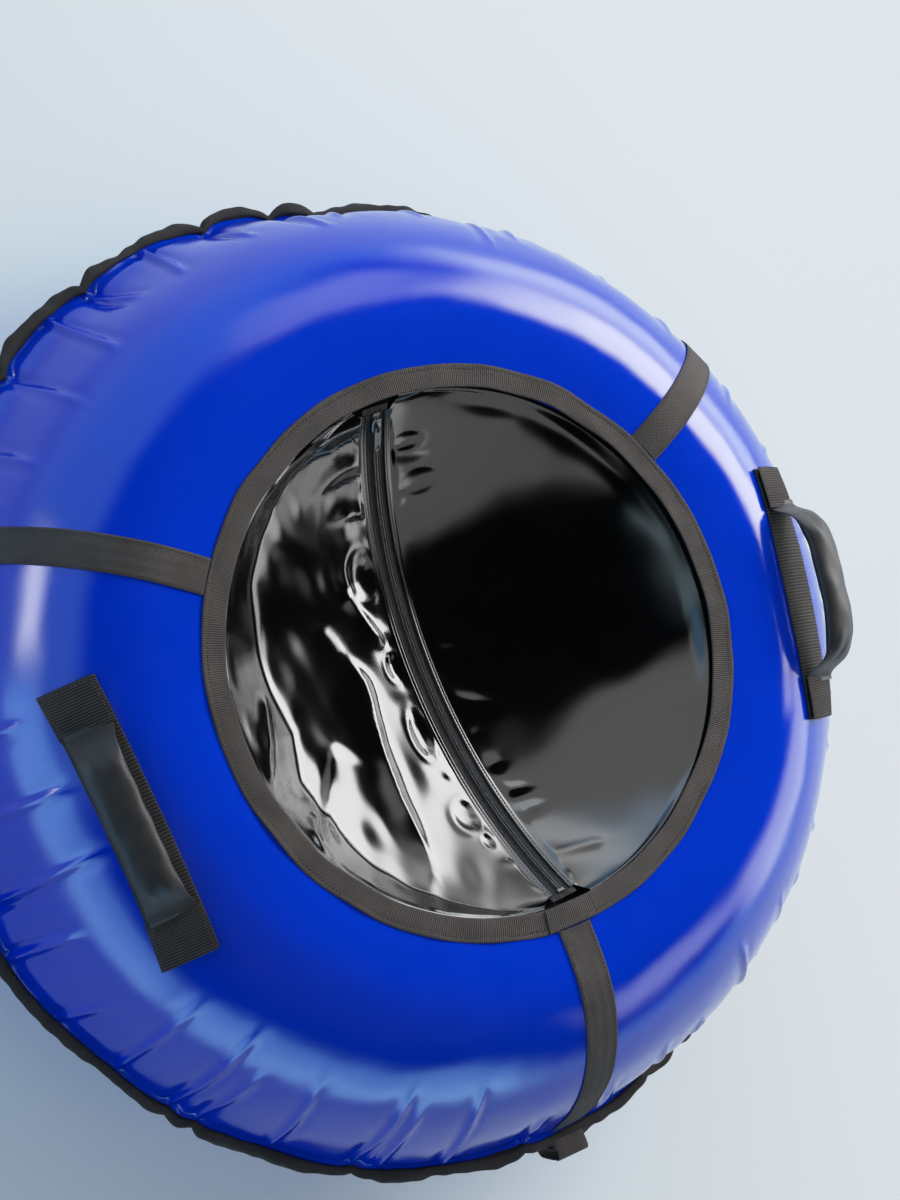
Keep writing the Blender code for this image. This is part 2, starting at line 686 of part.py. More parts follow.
OVAL_POINTS = 10
for side, sign in (("left", -1), ("right", 1)):
    front_y, rear_y = -HANDLE_LENGTH / 2, HANDLE_LENGTH / 2
    name = "handle_" + side
    axis_front, axis_rear = handle_axis(sign)
    axis_middle = (axis_front + axis_rear) / 2
    patch_front, patch_rear = front_y + PATCH_LENGTH, rear_y - PATCH_LENGTH
    stations = [front_y, front_y + PATCH_LENGTH / 2]
    stations += [patch_front + (patch_rear - patch_front) * k / 7 for k in range(8)]
    stations += [rear_y - PATCH_LENGTH / 2, rear_y]
    build(
        name + "_base",
        *strip_on_cover(sign, stations, HANDLE_LIFT, WEBBING_THICKNESS, HANDLE_WIDTH),
        ("webbing_grey_" + name, WEBBING_GREY, 0.7),
    )
    for end, a, middle, b in (
        ("front", front_y + 0.0015, stations[1], patch_front - 0.0010),
        ("rear", patch_rear + 0.0010, stations[-2], rear_y - 0.0015),
    ):
        lift = HANDLE_LIFT + WEBBING_THICKNESS + LAYER_GAP
        build(
            name + "_end_" + end,
            *strip_on_cover(sign, (a, middle, b), lift, WEBBING_THICKNESS, HANDLE_WIDTH * 0.84),
            ("webbing_black_%s_%s" % (name, end), (0.014, 0.013, 0.013), 0.75),
        )
        lift += WEBBING_THICKNESS + LAYER_GAP
        build(
            name + "_patch_" + end,
            *strip_on_cover(
                sign, (a - 0.0010, middle, b + 0.0005), lift, WEBBING_THICKNESS, HANDLE_WIDTH * 0.97
            ),
            ("patch_black_%s_%s" % (name, end), (0.012, 0.012, 0.012), 0.8),
        )

    shares = [LOOP_ROOT + (1 - 2 * LOOP_ROOT) * k / 14 for k in range(15)]
    rings = []
    for share, frame in zip(shares, loop_frames(sign, shares)):
        here, _, across, up = frame
        from_end = min(share, 1 - share) - LOOP_ROOT
        half = min(0.0130, 0.0050 + from_end * 0.11)
        rings.append(
            [
                here - across * half - up * WEBBING_THICKNESS / 2,
                here + across * half - up * WEBBING_THICKNESS / 2,
                here + across * half + up * WEBBING_THICKNESS / 2,
                here - across * half + up * WEBBING_THICKNESS / 2,
            ]
        )
    build(
        name + "_webbing",
        *lofted(rings),
        ("webbing_black_" + name, (0.014, 0.013, 0.013), 0.75),
        origin=axis_middle,
    )

    def sleeve_size(share):
        """Half width and half depth of the sleeve: padded in the middle, flat at its ends."""
        u = abs(2 * share - 1) / (1 - 2 * SLEEVE_START)
        fill = max(0.0, 1 - u**5)
        return SLEEVE_WIDTH / 2 * (0.90 + 0.10 * fill), SLEEVE_DEPTH / 2 * (0.46 + 0.54 * fill)

    shares = [SLEEVE_START + (1 - 2 * SLEEVE_START) * k / 9 for k in range(10)]
    frames = loop_frames(sign, shares)
    outer_rings, inner_rings = [], []
    for share, frame in zip(shares, frames):
        w, h = sleeve_size(share)
        outer_rings.append(oval(frame, w, h, OVAL_POINTS))
        inner_rings.append(oval(frame, w - SLEEVE_WALL, h - SLEEVE_WALL, OVAL_POINTS))
    build(
        name + "_sleeve",
        *lofted_tube(outer_rings, inner_rings),
        ("sleeve_grey_" + side, SLEEVE_GREY, 0.45),
        origin=axis_middle,
    )
    # The foam stays inside the sleeve's facets, and a slot through it holds the webbing.
    outer_rings, inner_rings = [], []
    for share, frame in list(zip(shares, frames))[1:-1]:
        w, h = sleeve_size(share)
        outer_rings.append(oval(frame, w - SLEEVE_WALL - 0.0006, h - SLEEVE_WALL - 0.0006, OVAL_POINTS))
        inner_rings.append(oval(frame, 0.0162, 0.0027, OVAL_POINTS))
    build(
        name + "_foam",
        *lofted_tube(outer_rings, inner_rings),
        ("foam_grey_" + side, (0.12, 0.12, 0.12), 0.95),
        origin=axis_middle,
    )

# ---------------------------------------------------------------- tow loop
TOW_PIN = Vector((0.0, -(OVERALL_RADIUS + TOW_LOOP_RADIUS + 0.0008), SEAM_HEIGHT))
END_STEPS = 6


def loop_outline(radius):
    points = []
    for k in range(END_STEPS + 1):
        a = pi * k / END_STEPS
        points.append((radius * cos(a), radius * sin(a)))
    for k in range(END_STEPS + 1):
        a = pi + pi * k / END_STEPS
        points.append((radius * cos(a), -TOW_LOOP_LENGTH + radius * sin(a)))
    return points


rings = [[], [], [], []]
for radius, x, row in (
    (TOW_LOOP_RADIUS, -TOW_LOOP_WIDTH / 2, 0),
    (TOW_LOOP_RADIUS, TOW_LOOP_WIDTH / 2, 1),
    (TOW_LOOP_RADIUS - TOW_LOOP_WALL, TOW_LOOP_WIDTH / 2, 2),
    (TOW_LOOP_RADIUS - TOW_LOOP_WALL, -TOW_LOOP_WIDTH / 2, 3),
):
    rings[row] = [TOW_PIN + Vector((x, y, z)) for y, z in loop_outline(radius)]
count = len(rings[0])
verts = [point for ring in rings for point in ring]
faces = []
for row in range(4):
    faces += bridge(row * count, ((row + 1) % 4) * count, count)
build("tow_loop", verts, faces, ("webbing_grey_tow", WEBBING_GREY, 0.7), origin=TOW_PIN)

# ---------------------------------------------------------------- inner tube and valve
TUBE_ANGLES = [radians(a) for a in (88, 60, 35, 12, -12, -35, -60, -88, -120, -150, 180, 150, 120)]


def tube_outline(depth):
    points = []
    for t in TUBE_ANGLES:
        r, z = section(t)
        r = RING_CENTRE_RADIUS + (r - RING_CENTRE_RADIUS) * (1 - depth / SECTION_HALF_WIDTH)
        z = SEAM_HEIGHT + (z - SEAM_HEIGHT) * (1 - depth / SECTION_HALF_HEIGHT)
        points.append((r, max(z, COVER_THICKNESS + 0.0004 + depth - (COVER_THICKNESS + TUBE_CLEARANCE) + 0.0004)))
    return points


skin = COVER_THICKNESS + TUBE_CLEARANCE
outer = tube_outline(skin)
inner = tube_outline(skin + TUBE_WALL)
count = AZIMUTH_STEPS
verts, faces = [], []
for outline in (outer, inner):
    base = len(verts)
    verts += [point for r, z in outline for point in circle_ring(r, z)]
    for k in range(len(outline)):
        faces += bridge(base + k * count, base + ((k + 1) % len(outline)) * count, count)
# Both skins are closed rings; the inner one is turned over so that the wall lies between them.
tube_mesh = bpy.data.meshes.new("inner_tube")
tube_mesh.from_pydata([tuple(v) for v in verts], [], faces)
bm = bmesh.new()
bm.from_mesh(tube_mesh)
half = len(bm.faces) // 2
bm.faces.ensure_lookup_table()
outer_faces, inner_faces = bm.faces[:half], bm.faces[half:]
bmesh.ops.recalc_face_normals(bm, faces=outer_faces)
bmesh.ops.recalc_face_normals(bm, faces=inner_faces)
bmesh.ops.reverse_faces(bm, faces=inner_faces)
bm.to_mesh(tube_mesh)
bm.free()
tube_mesh.shade_smooth()
tube = bpy.data.objects.new("inner_tube", tube_mesh)
bpy.context.scene.collection.objects.link(tube)
tube_mesh.materials.append(material("inner_tube_rubber", (0.015, 0.015, 0.016), 0.55))

VALVE_DIRECTION = Vector((-cos(VALVE_AZIMUTH), -sin(VALVE_AZIMUTH), 0.0))
tube_inner_radius = (RING_CENTRE_RADIUS - SECTION_HALF_WIDTH + skin) * cos(pi / AZIMUTH_STEPS)
VALVE_ROOT = Vector((cos(VALVE_AZIMUTH), sin(VALVE_AZIMUTH), 0.0)) * tube_inner_radius + Vector(
    (0, 0, SEAM_HEIGHT)
)
valve_side = Vector((0, 0, 1)).cross(VALVE_DIRECTION)


def valve_rings(profile, count=12):
    """Rings turned about the valve's axis, from (distance from the tube's wall, radius)."""
    return [
        [
            VALVE_ROOT
            + VALVE_DIRECTION * distance
            + valve_side * radius * cos(2 * pi * k / count)
            + Vector((0, 0, 1)) * radius * sin(2 * pi * k / count)
            for k in range(count)
        ]
        for distance, radius in profile
    ]


cutter = build(
    "valve_hole_cutter",
    *lofted(valve_rings([(-0.02, 0.0042), (0.02, 0.0042)])),
    ("valve_hole", (0.1, 0.1, 0.1), 0.5),
)
cutter.hide_render = True
cutter.display_type = "WIRE"
cut = tube.modifiers.new("valve hole", "BOOLEAN")
cut.operation = "DIFFERENCE"
cut.solver = "EXACT"
cut.object = cutter

RUBBER = (0.018, 0.018, 0.019)
BRASS = (0.62, 0.44, 0.18)
build(
    "valve_patch",
    *lofted_tube(
        valve_rings([(0.0006, 0.0150), (0.0026, 0.0110)], 16),
        valve_rings([(0.0006, 0.0046), (0.0026, 0.0046)], 16),
    ),
    ("valve_patch_rubber", RUBBER, 0.6),
)
stem_outer = valve_rings([(-0.0030, 0.0036), (0.0050, 0.0040), (0.0220, 0.0040), (0.0224, 0.0034), (0.0330, 0.0034)])
stem_inner = valve_rings([(-0.0030, 0.0022), (0.0050, 0.0022), (0.0220, 0.0022), (0.0224, 0.0022), (0.0330, 0.0022)])
build("valve_stem", *lofted_tube(stem_outer, stem_inner), ("valve_stem_rubber", RUBBER, 0.5))
build(
    "valve_core",
    *lofted(valve_rings([(0.0120, 0.0009), (0.0140, 0.0018), (0.0300, 0.0018), (0.0302, 0.0007), (0.0322, 0.0007)])),
    ("valve_core_brass", BRASS, 0.3, 1.0),
)
cap_outer = valve_rings([(0.0232, 0.0049), (0.0340, 0.0049), (0.0356, 0.0040)])
cap_inner = valve_rings([(0.0232, 0.0038), (0.0337, 0.0038), (0.0338, 0.0030)])
count = len(cap_outer[0])
cap_rings = cap_outer[::-1] + cap_inner
build("valve_cap", *lofted(cap_rings), ("valve_cap_plastic", (0.02, 0.02, 0.02), 0.4), origin=VALVE_ROOT + VALVE_DIRECTION * 0.0232)
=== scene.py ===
"""Looks of an inflatable snow tube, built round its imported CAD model.

Row frame: z = 0 is the floor, +Z the tube's axis, -Y the tow side, -X and +X the two handles.
Lengths are metres.
"""

from math import asin, atan2, cos, degrees, hypot, pi, radians, sin, sqrt

import bpy
import numpy as np
from mathutils import Matrix, Vector


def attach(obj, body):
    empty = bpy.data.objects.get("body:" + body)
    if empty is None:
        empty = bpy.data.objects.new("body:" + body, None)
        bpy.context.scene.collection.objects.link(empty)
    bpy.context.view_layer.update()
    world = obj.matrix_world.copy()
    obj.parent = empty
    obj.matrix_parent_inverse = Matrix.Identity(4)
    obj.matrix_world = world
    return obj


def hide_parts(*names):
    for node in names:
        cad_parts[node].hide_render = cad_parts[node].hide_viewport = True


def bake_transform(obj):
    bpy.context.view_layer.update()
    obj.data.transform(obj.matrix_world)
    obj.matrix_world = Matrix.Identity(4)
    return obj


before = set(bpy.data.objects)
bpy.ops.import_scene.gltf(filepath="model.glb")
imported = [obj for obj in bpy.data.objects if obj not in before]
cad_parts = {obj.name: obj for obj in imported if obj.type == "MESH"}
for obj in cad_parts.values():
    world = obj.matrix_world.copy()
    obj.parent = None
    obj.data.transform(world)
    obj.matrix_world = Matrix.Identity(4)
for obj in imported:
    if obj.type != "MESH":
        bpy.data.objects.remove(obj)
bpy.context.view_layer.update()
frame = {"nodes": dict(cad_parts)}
nodes = frame["nodes"]
scene = bpy.context.scene
TAU = 2 * pi

# ---------------------------------------------------------------- sizes shared with the CAD
SEAM = 0.186
HALF_WIDTH, HALF_HEIGHT, POWER = 0.1666, 0.186, 1.74
CREST = 0.352
RING_IN, RING_OUT, RING_Z = 0.275, 0.300, 0.3668
FLANGE = 0.5335
WEBBING = 0.0016
ZIP_CHORD, SAG, LEAN, ZIP_TURN, ZIP_SHIFT = 0.270, 0.1068, radians(7), radians(3.35), -0.0113
ZIP_R = (ZIP_CHORD**2 + SAG**2) / (2 * SAG)
ZIP_HALF = asin(ZIP_CHORD / ZIP_R)
ZIP_LINE = np.array([-sin(ZIP_TURN), cos(ZIP_TURN), 0.0])
ZIP_SIDE = np.array([cos(ZIP_TURN), sin(ZIP_TURN), 0.0])
SAG_DIR = -ZIP_SIDE * sin(LEAN) - np.array([0.0, 0.0, 1.0]) * cos(LEAN)
ACROSS = ZIP_SIDE * cos(LEAN) - np.array([0.0, 0.0, 1.0]) * sin(LEAN)
ZIP_CENTRE = np.array([ZIP_SHIFT, 0.0, 0.3611]) - SAG_DIR * (ZIP_R - SAG)
STRAP_AZ = {"strap_right": 30.0, "strap_left": 150.0, "strap_front": 270.0}
HANDLE_X, HANDLE_Y, HANDLE_TURN, HANDLE_WIDTH = 0.4005, -0.0515, radians(7.0), 0.050
HANDLE_FRONT, HANDLE_REAR, PATCH = -0.1425, 0.1425, 0.048
LOOP_RISE, LOOP_LEAN = 0.045, radians(8.0)


# ---------------------------------------------------------------- small tools
def unit(v):
    v = np.asarray(v, float)
    return v / np.maximum(np.linalg.norm(v, axis=-1, keepdims=True), 1e-12)


def smooth(x, low=0.0, high=1.0):
    t = np.clip((np.asarray(x, float) - low) / (high - low), 0, 1)
    return t * t * (3 - 2 * t)


def field(points, size, seed, count=22):
    """A smooth random field of about unit height, with features of this size."""
    rng = np.random.RandomState(seed)
    p = np.asarray(points, float)
    total = np.zeros(p.shape[:-1])
    for _ in range(count):
        k = unit(rng.normal(size=3)) * TAU / size * rng.uniform(0.55, 1.35)
        total += np.cos(p @ k + rng.uniform(0, TAU))
    return total / sqrt(count / 2)


def curve_through(points, count):
    """Catmull-Rom curve through these points, evenly spaced."""
    p = np.asarray(points, float)
    p = np.vstack([2 * p[0] - p[1], p, 2 * p[-1] - p[-2]])
    out = []
    for i in range(1, len(p) - 2):
        t = np.linspace(0, 1, 24, endpoint=False)[:, None]
        a, b, c, d = p[i - 1], p[i], p[i + 1], p[i + 2]
        out.append(
            0.5
            * (
                2 * b
                + (c - a) * t
                + (2 * a - 5 * b + 4 * c - d) * t**2
                + (3 * b - a - 3 * c + d) * t**3
            )
        )
    out = np.vstack(out + [p[-2][None]])
    s = np.concatenate([[0], np.cumsum(np.linalg.norm(np.diff(out, axis=0), axis=1))])
    at = np.linspace(0, s[-1], count)
    return np.stack([np.interp(at, s, out[:, k]) for k in range(out.shape[1])], 1)


def mesh_piece(name, verts, faces, uvs, mat, sharp=None):
    """A mesh object. uvs has one pair per face corner, in metres along the cloth."""
    me = bpy.data.meshes.new(name)
    me.from_pydata(np.asarray(verts, float).tolist(), [], faces)
    if uvs is not None:
        layer = me.uv_layers.new(name="cloth")
        layer.data.foreach_set("uv", np.asarray(uvs, np.float32).ravel())
    me.materials.append(mat)
    me.shade_smooth()
    if sharp:
        me.set_sharp_from_angle(angle=radians(sharp))
    me.update()
    ob = bpy.data.objects.new(name, me)
    scene.collection.objects.link(ob)
    return ob


def grid_faces(rows, cols, wrap_rows=False, wrap_cols=False, base=0):
    r = np.arange(rows if wrap_rows else rows - 1)
    c = np.arange(cols if wrap_cols else cols - 1)
    i, j = np.meshgrid(r, c, indexing="ij")
    i2, j2 = (i + 1) % rows, (j + 1) % cols
    quads = np.stack([i * cols + j, i * cols + j2, i2 * cols + j2, i2 * cols + j], -1)
    corner = np.stack(
        [
            np.stack([i, j], -1),
            np.stack([i, j + 1], -1),
            np.stack([i + 1, j + 1], -1),
            np.stack([i + 1, j], -1),
        ],
        2,
    )
    return (quads + base).reshape(-1, 4), corner.reshape(-1, 4, 2)


def grid_piece(name, P, UV, mat, wrap_rows=False, wrap_cols=False, caps=False, flip=False, sharp=None):
    """A sheet or tube from a grid of points. UV has one more row or column where it wraps."""
    rows, cols = P.shape[:2]
    quads, corner = grid_faces(rows, cols, wrap_rows, wrap_cols)
    uv = UV[corner[..., 0], corner[..., 1]]
    if flip:
        quads, uv = quads[:, ::-1], uv[:, ::-1]
    faces = quads.tolist()
    uv = uv.reshape(-1, 2)
    if caps:
        first, last = list(range(cols)), list(range((rows - 1) * cols, rows * cols))
        if flip:
            first, last = first[::-1], last[::-1]
        faces += [first[::-1], last]
        uv = np.vstack([uv, np.zeros((2 * cols, 2)) + UV[0, 0]])
    return mesh_piece(name, P.reshape(-1, 3), faces, uv, mat, sharp)


def joined(name, parts, mat, sharp=None):
    """One mesh from several (points, faces) with the cloth map left at each part's own place."""
    verts, faces, uvs, base = [], [], [], 0
    for points, fs, uv in parts:
        verts.append(points)
        faces += [[i + base for i in f] for f in fs]
        uvs.append(uv)
        base += len(points)
    return mesh_piece(name, np.vstack(verts), faces, np.vstack(uvs), mat, sharp)


# ---------------------------------------------------------------- materials
def shader(name, colour, rough, metallic=0.0, coat=0.0, coat_rough=0.1, specular=0.5, sheen=0.0):
    mat = bpy.data.materials.new(name)
    mat.use_nodes = True
    mat.diffuse_color = (*colour, 1)
    b = mat.node_tree.nodes["Principled BSDF"]
    b.inputs["Base Color"].default_value = (*colour, 1)
    b.inputs["Roughness"].default_value = rough
    b.inputs["Metallic"].default_value = metallic
    b.inputs["Coat Weight"].default_value = coat
    b.inputs["Coat Roughness"].default_value = coat_rough
    b.inputs["Specular IOR Level"].default_value = specular
    if sheen:
        b.inputs["Sheen Weight"].default_value = sheen
        b.inputs["Sheen Roughness"].default_value = 0.5
    return mat


class Nodes:
    """Short ways to add nodes to one material."""

    def __init__(self, mat):
        self.tree = mat.node_tree
        self.bsdf = self.tree.nodes["Principled BSDF"]
        self.object = None

    def new(self, kind, **inputs):
        n = self.tree.nodes.new(kind)
        for key, value in inputs.items():
            socket = n.inputs[key.replace("_", " ")] if isinstance(key, str) else n.inputs[key]
            self.put(socket, value)
        return n

    def put(self, socket, value):
        if hasattr(value, "is_output"):
            self.tree.links.new(value, socket)
        else:
            socket.default_value = value

    def math(self, op, a, b=None, c=None, clamp=False):
        n = self.tree.nodes.new("ShaderNodeMath")
        n.operation, n.use_clamp = op, clamp
        for i, v in enumerate((a, b, c)):
            if v is not None:
                self.put(n.inputs[i], v)
        return n.outputs[0]

    def cloth(self):
        n = self.tree.nodes.new("ShaderNodeUVMap")
        n.uv_map = "cloth"
        return n.outputs["UV"]

    def place(self):
        if self.object is None:
            self.object = self.tree.nodes.new("ShaderNodeTexCoord").outputs["Object"]
        return self.object

    def split(self, vector):
        n = self.tree.nodes.new("ShaderNodeSeparateXYZ")
        self.put(n.inputs[0], vector)
        return n.outputs[0], n.outputs[1], n.outputs[2]

    def noise(self, vector, scale, detail=2.0, rough=0.5, stretch=None):
        if stretch:
            m = self.tree.nodes.new("ShaderNodeMapping")
            m.inputs["Scale"].default_value = stretch
            self.put(m.inputs["Vector"], vector)
            vector = m.outputs[0]
        n = self.tree.nodes.new("ShaderNodeTexNoise")
        self.put(n.inputs["Vector"], vector)
        n.inputs["Scale"].default_value = scale
        n.inputs["Detail"].default_value = detail
        n.inputs["Roughness"].default_value = rough
        return n.outputs["Fac"]

    def ramp(self, value, stops):
        n = self.tree.nodes.new("ShaderNodeValToRGB")
        self.put(n.inputs[0], value)
        e = n.color_ramp.elements
        while len(e) < len(stops):
            e.new(0.5)
        for i, (at, colour) in enumerate(stops):
            e[i].position = at
            e[i].color = (*colour, 1) if len(colour) == 3 else colour
        return n.outputs["Color"]

    def range(self, value, low, high, to_low, to_high):
        n = self.tree.nodes.new("ShaderNodeMapRange")
        self.put(n.inputs["Value"], value)
        for key, v in (("From Min", low), ("From Max", high), ("To Min", to_low), ("To Max", to_high)):
            n.inputs[key].default_value = v
        return n.outputs["Result"]

    def bump(self, height, distance, strength=1.0, normal=None):
        n = self.tree.nodes.new("ShaderNodeBump")
        n.inputs["Strength"].default_value = strength
        n.inputs["Distance"].default_value = distance
        self.put(n.inputs["Height"], height)
        if normal is not None:
            self.put(n.inputs["Normal"], normal)
        return n.outputs["Normal"]

    def wave(self, value, pitch, phase=0.0):
        """From 0 to 1, once in every pitch."""
        turned = self.math("MULTIPLY_ADD", value, TAU / pitch, phase)
        return self.math("MULTIPLY_ADD", self.math("SINE", turned), 0.5, 0.5)

    def finish(self, colour=None, rough=None, normal=None, coat_normal=None):
        if colour is not None:
            self.put(self.bsdf.inputs["Base Color"], colour)
        if rough is not None:
            self.put(self.bsdf.inputs["Roughness"], rough)
        if normal is not None:
            self.put(self.bsdf.inputs["Normal"], normal)
        if coat_normal is not None:
            self.put(self.bsdf.inputs["Coat Normal"], coat_normal)


def mixed(a, b, t):
    return tuple(x + (y - x) * t for x, y in zip(a, b))


def coated_cloth(name, colour, rough, coat, coat_rough, pitch, scrim, specular=0.5):
    """PVC-coated cloth: a gloss skin through which the woven scrim shows as a fine square grid."""
    mat = shader(name, colour, rough, coat=coat, coat_rough=coat_rough, specular=specular)
    n = Nodes(mat)
    x, y, _ = n.split(n.cloth())
    grid = n.math("MULTIPLY", n.wave(x, pitch), n.wave(y, pitch))
    soft = n.noise(n.cloth(), 9.0, 3.0)
    fine = n.noise(n.cloth(), 900.0, 2.0)
    height = n.math("ADD", n.math("MULTIPLY", grid, n.range(soft, 0.35, 0.65, 0.7, 1.0)), n.math("MULTIPLY", fine, 0.25))
    normal = n.bump(height, scrim)
    base = n.ramp(
        n.math("ADD", n.math("MULTIPLY", soft, 0.8), n.math("MULTIPLY", grid, 0.15)),
        [(0.2, mixed(colour, (0, 0, 0), 0.10)), (0.75, mixed(colour, (0, 0, 0), 0.0))],
    )
    rough_map = n.range(n.noise(n.cloth(), 26.0, 4.0), 0.3, 0.7, rough * 0.8, rough * 1.25)
    n.finish(base, rough_map, normal, normal)
    return mat


def webbing_cloth(name, colour, rough, pitch=0.0023, depth=0.00035, lengthwise=False, herring=False, specular=0.10):
    """Woven webbing: ribs across it, a finer thread along it, and a fuzz of light fibres."""
    mat = shader(name, colour, rough, specular=specular, sheen=0.0)
    n = Nodes(mat)
    u, v, _ = n.split(n.cloth())
    if lengthwise:
        u, v = v, u
    if herring:
        zig = n.math("PINGPONG", v, 0.006)
        u = n.math("ADD", u, zig)
    rib = n.wave(u, pitch)
    thread = n.wave(v, 0.0011)
    cross = n.math("MULTIPLY", n.wave(u, pitch / 2), thread)
    lint = n.noise(n.cloth(), 1400.0, 2.0)
    wear = n.noise(n.cloth(), 22.0, 3.0)
    height = n.math("ADD", n.math("MULTIPLY", rib, 0.75), n.math("MULTIPLY", cross, 0.35))
    height = n.math("ADD", height, n.math("MULTIPLY", lint, 0.25))
    # The colour is darker in the troughs of the ribs, a painted shade of the grooves, mixed with real tone from light
    # lint fibres and wear.
    dark, light = mixed(colour, (0, 0, 0), 0.42), mixed(colour, (0.5, 0.46, 0.42), 0.10)
    shade = n.math("ADD", n.math("MULTIPLY", rib, 0.5), n.math("MULTIPLY", lint, 0.35))
    shade = n.math("ADD", shade, n.math("MULTIPLY_ADD", wear, 0.5, -0.25))
    n.finish(
        n.ramp(shade, [(0.1, dark), (0.85, light)]),
        n.range(lint, 0.3, 0.7, rough - 0.07, min(rough + 0.12, 1.0)),
        n.bump(height, depth),
    )
    return mat


BLUE = (0.0003, 0.0285, 0.47)
GREY = (0.050, 0.0405, 0.036)
cover_top_mat = coated_cloth("coated_blue_top", BLUE, 0.105, 0.10, 0.05, 0.0026, 0.00006, specular=0.5)
cover_base_mat = coated_cloth("coated_blue_base", BLUE, 0.16, 0.10, 0.12, 0.0026, 0.00007, specular=0.5)
webbing_mat = webbing_cloth("webbing_grey_brown", GREY, 0.66)
strap_mat = webbing_cloth("webbing_strap_grey", mixed(GREY, (0, 0, 0), 0.12), 0.66, herring=True)
handle_mat = webbing_cloth("webbing_handle_base", (0.021, 0.0185, 0.017), 0.75, pitch=0.0036, depth=0.0005)
patch_mat = webbing_cloth("webbing_patch_black", (0.0150, 0.0108, 0.0098), 0.75, pitch=0.0028, depth=0.0005)
binding_mat = webbing_cloth("binding_knit_black", (0.012, 0.0115, 0.0115), 0.78, pitch=0.0020, depth=0.0004)
gloss_mat = coated_cloth("patent_black", (0.0016, 0.0016, 0.0018), 0.11, 0.5, 0.03, 0.0021, 0.00003, specular=0.5)
tape_mat = webbing_cloth("zip_tape_black", (0.0085, 0.0085, 0.009), 0.6, pitch=0.0016, depth=0.0002, specular=0.12)

sleeve_mat = shader("sleeve_dark_grey", (0.0185, 0.0170, 0.0172), 0.46, specular=0.20, sheen=0.03)
n = Nodes(sleeve_mat)
u, v, _ = n.split(n.cloth())
fine = n.math("MULTIPLY", n.wave(u, 0.0011), n.wave(v, 0.0011))
cloud = n.noise(n.cloth(), 40.0, 4.0)
n.finish(
    n.ramp(n.math("ADD", n.math("MULTIPLY", cloud, 0.8), n.math("MULTIPLY", fine, 0.2)), [(0.2, (0.016, 0.0150, 0.0150)), (0.8, (0.027, 0.0250, 0.0250))]),
    n.range(cloud, 0.3, 0.7, 0.36, 0.5),
    n.bump(n.math("ADD", n.math("MULTIPLY", fine, 0.5), n.math("MULTIPLY", n.noise(n.cloth(), 700.0, 2.0), 0.5)), 0.0001),
)

thread_mat = shader("thread_black", (0.012, 0.0115, 0.011), 0.55, specular=0.5)
n = Nodes(thread_mat)
twist = n.noise(n.place(), 1800.0, 2.0)
n.finish(n.ramp(twist, [(0.3, (0.006, 0.006, 0.006)), (0.7, (0.026, 0.024, 0.023))]), n.range(twist, 0.3, 0.7, 0.45, 0.65), n.bump(twist, 0.0001))
thread_grey_mat = shader("thread_dark_grey", (0.012, 0.011, 0.0105), 0.6, specular=0.2)
n = Nodes(thread_grey_mat)
twist = n.noise(n.place(), 1800.0, 2.0)
n.finish(n.ramp(twist, [(0.3, (0.010, 0.0095, 0.009)), (0.7, (0.032, 0.029, 0.027))]), n.range(twist, 0.3, 0.7, 0.5, 0.7), n.bump(twist, 0.0001))

coil_mat = shader("coil_nylon_black", (0.010, 0.010, 0.0105), 0.32, specular=0.6)
n = Nodes(coil_mat)
speck = n.noise(n.place(), 400.0, 3.0)
n.finish(n.ramp(speck, [(0.3, (0.006, 0.006, 0.0065)), (0.7, (0.016, 0.016, 0.017))]), n.range(speck, 0.3, 0.7, 0.25, 0.42), n.bump(speck, 0.0001))


def metal_cad(name, colour, rough):
    mat = shader(name, colour, rough, metallic=1.0)
    n = Nodes(mat)
    brushed = n.noise(n.place(), 260.0, 4.0, stretch=(1.0, 0.25, 1.0))
    worn = n.noise(n.place(), 90.0, 4.0)
    n.finish(
        n.ramp(worn, [(0.3, mixed(colour, (0, 0, 0), 0.25)), (0.62, colour), (0.75, mixed(colour, (1, 1, 1), 0.22))]),
        n.range(brushed, 0.3, 0.7, rough * 0.75, rough * 1.35),
        n.bump(brushed, 0.00006),
    )
    return mat


def moulded(name, colour, rough, specular=0.5, grain=500.0, depth=0.00008):
    mat = shader(name, colour, rough, specular=specular)
    n = Nodes(mat)
    grain_map = n.noise(n.place(), grain, 3.0)
    cloud = n.noise(n.place(), 24.0, 4.0)
    n.finish(
        n.ramp(cloud, [(0.3, mixed(colour, (0, 0, 0), 0.2)), (0.7, mixed(colour, (1, 1, 1), 0.03))]),
        n.range(cloud, 0.3, 0.7, rough * 0.85, min(rough * 1.2, 1.0)),
        n.bump(grain_map, depth),
    )
    return mat


gunmetal_mat = metal_cad("gunmetal", (0.165, 0.165, 0.172), 0.30)
brass_mat = metal_cad("brass_turned", (0.62, 0.44, 0.18), 0.28)
rubber_mat = moulded("tube_rubber_talc", (0.018, 0.018, 0.019), 0.55, grain=300.0)
valve_rubber_mat = moulded("valve_rubber", (0.015, 0.015, 0.016), 0.5)
plastic_mat = moulded("cap_plastic", (0.02, 0.02, 0.021), 0.38)
foam_mat = moulded("foam_grey", (0.12, 0.12, 0.12), 0.95, 0.2, 900.0, 0.0006)


def dress(name, mat):
    ob = nodes[name]
    ob.data.materials.clear()
    ob.data.materials.append(mat)
    return ob


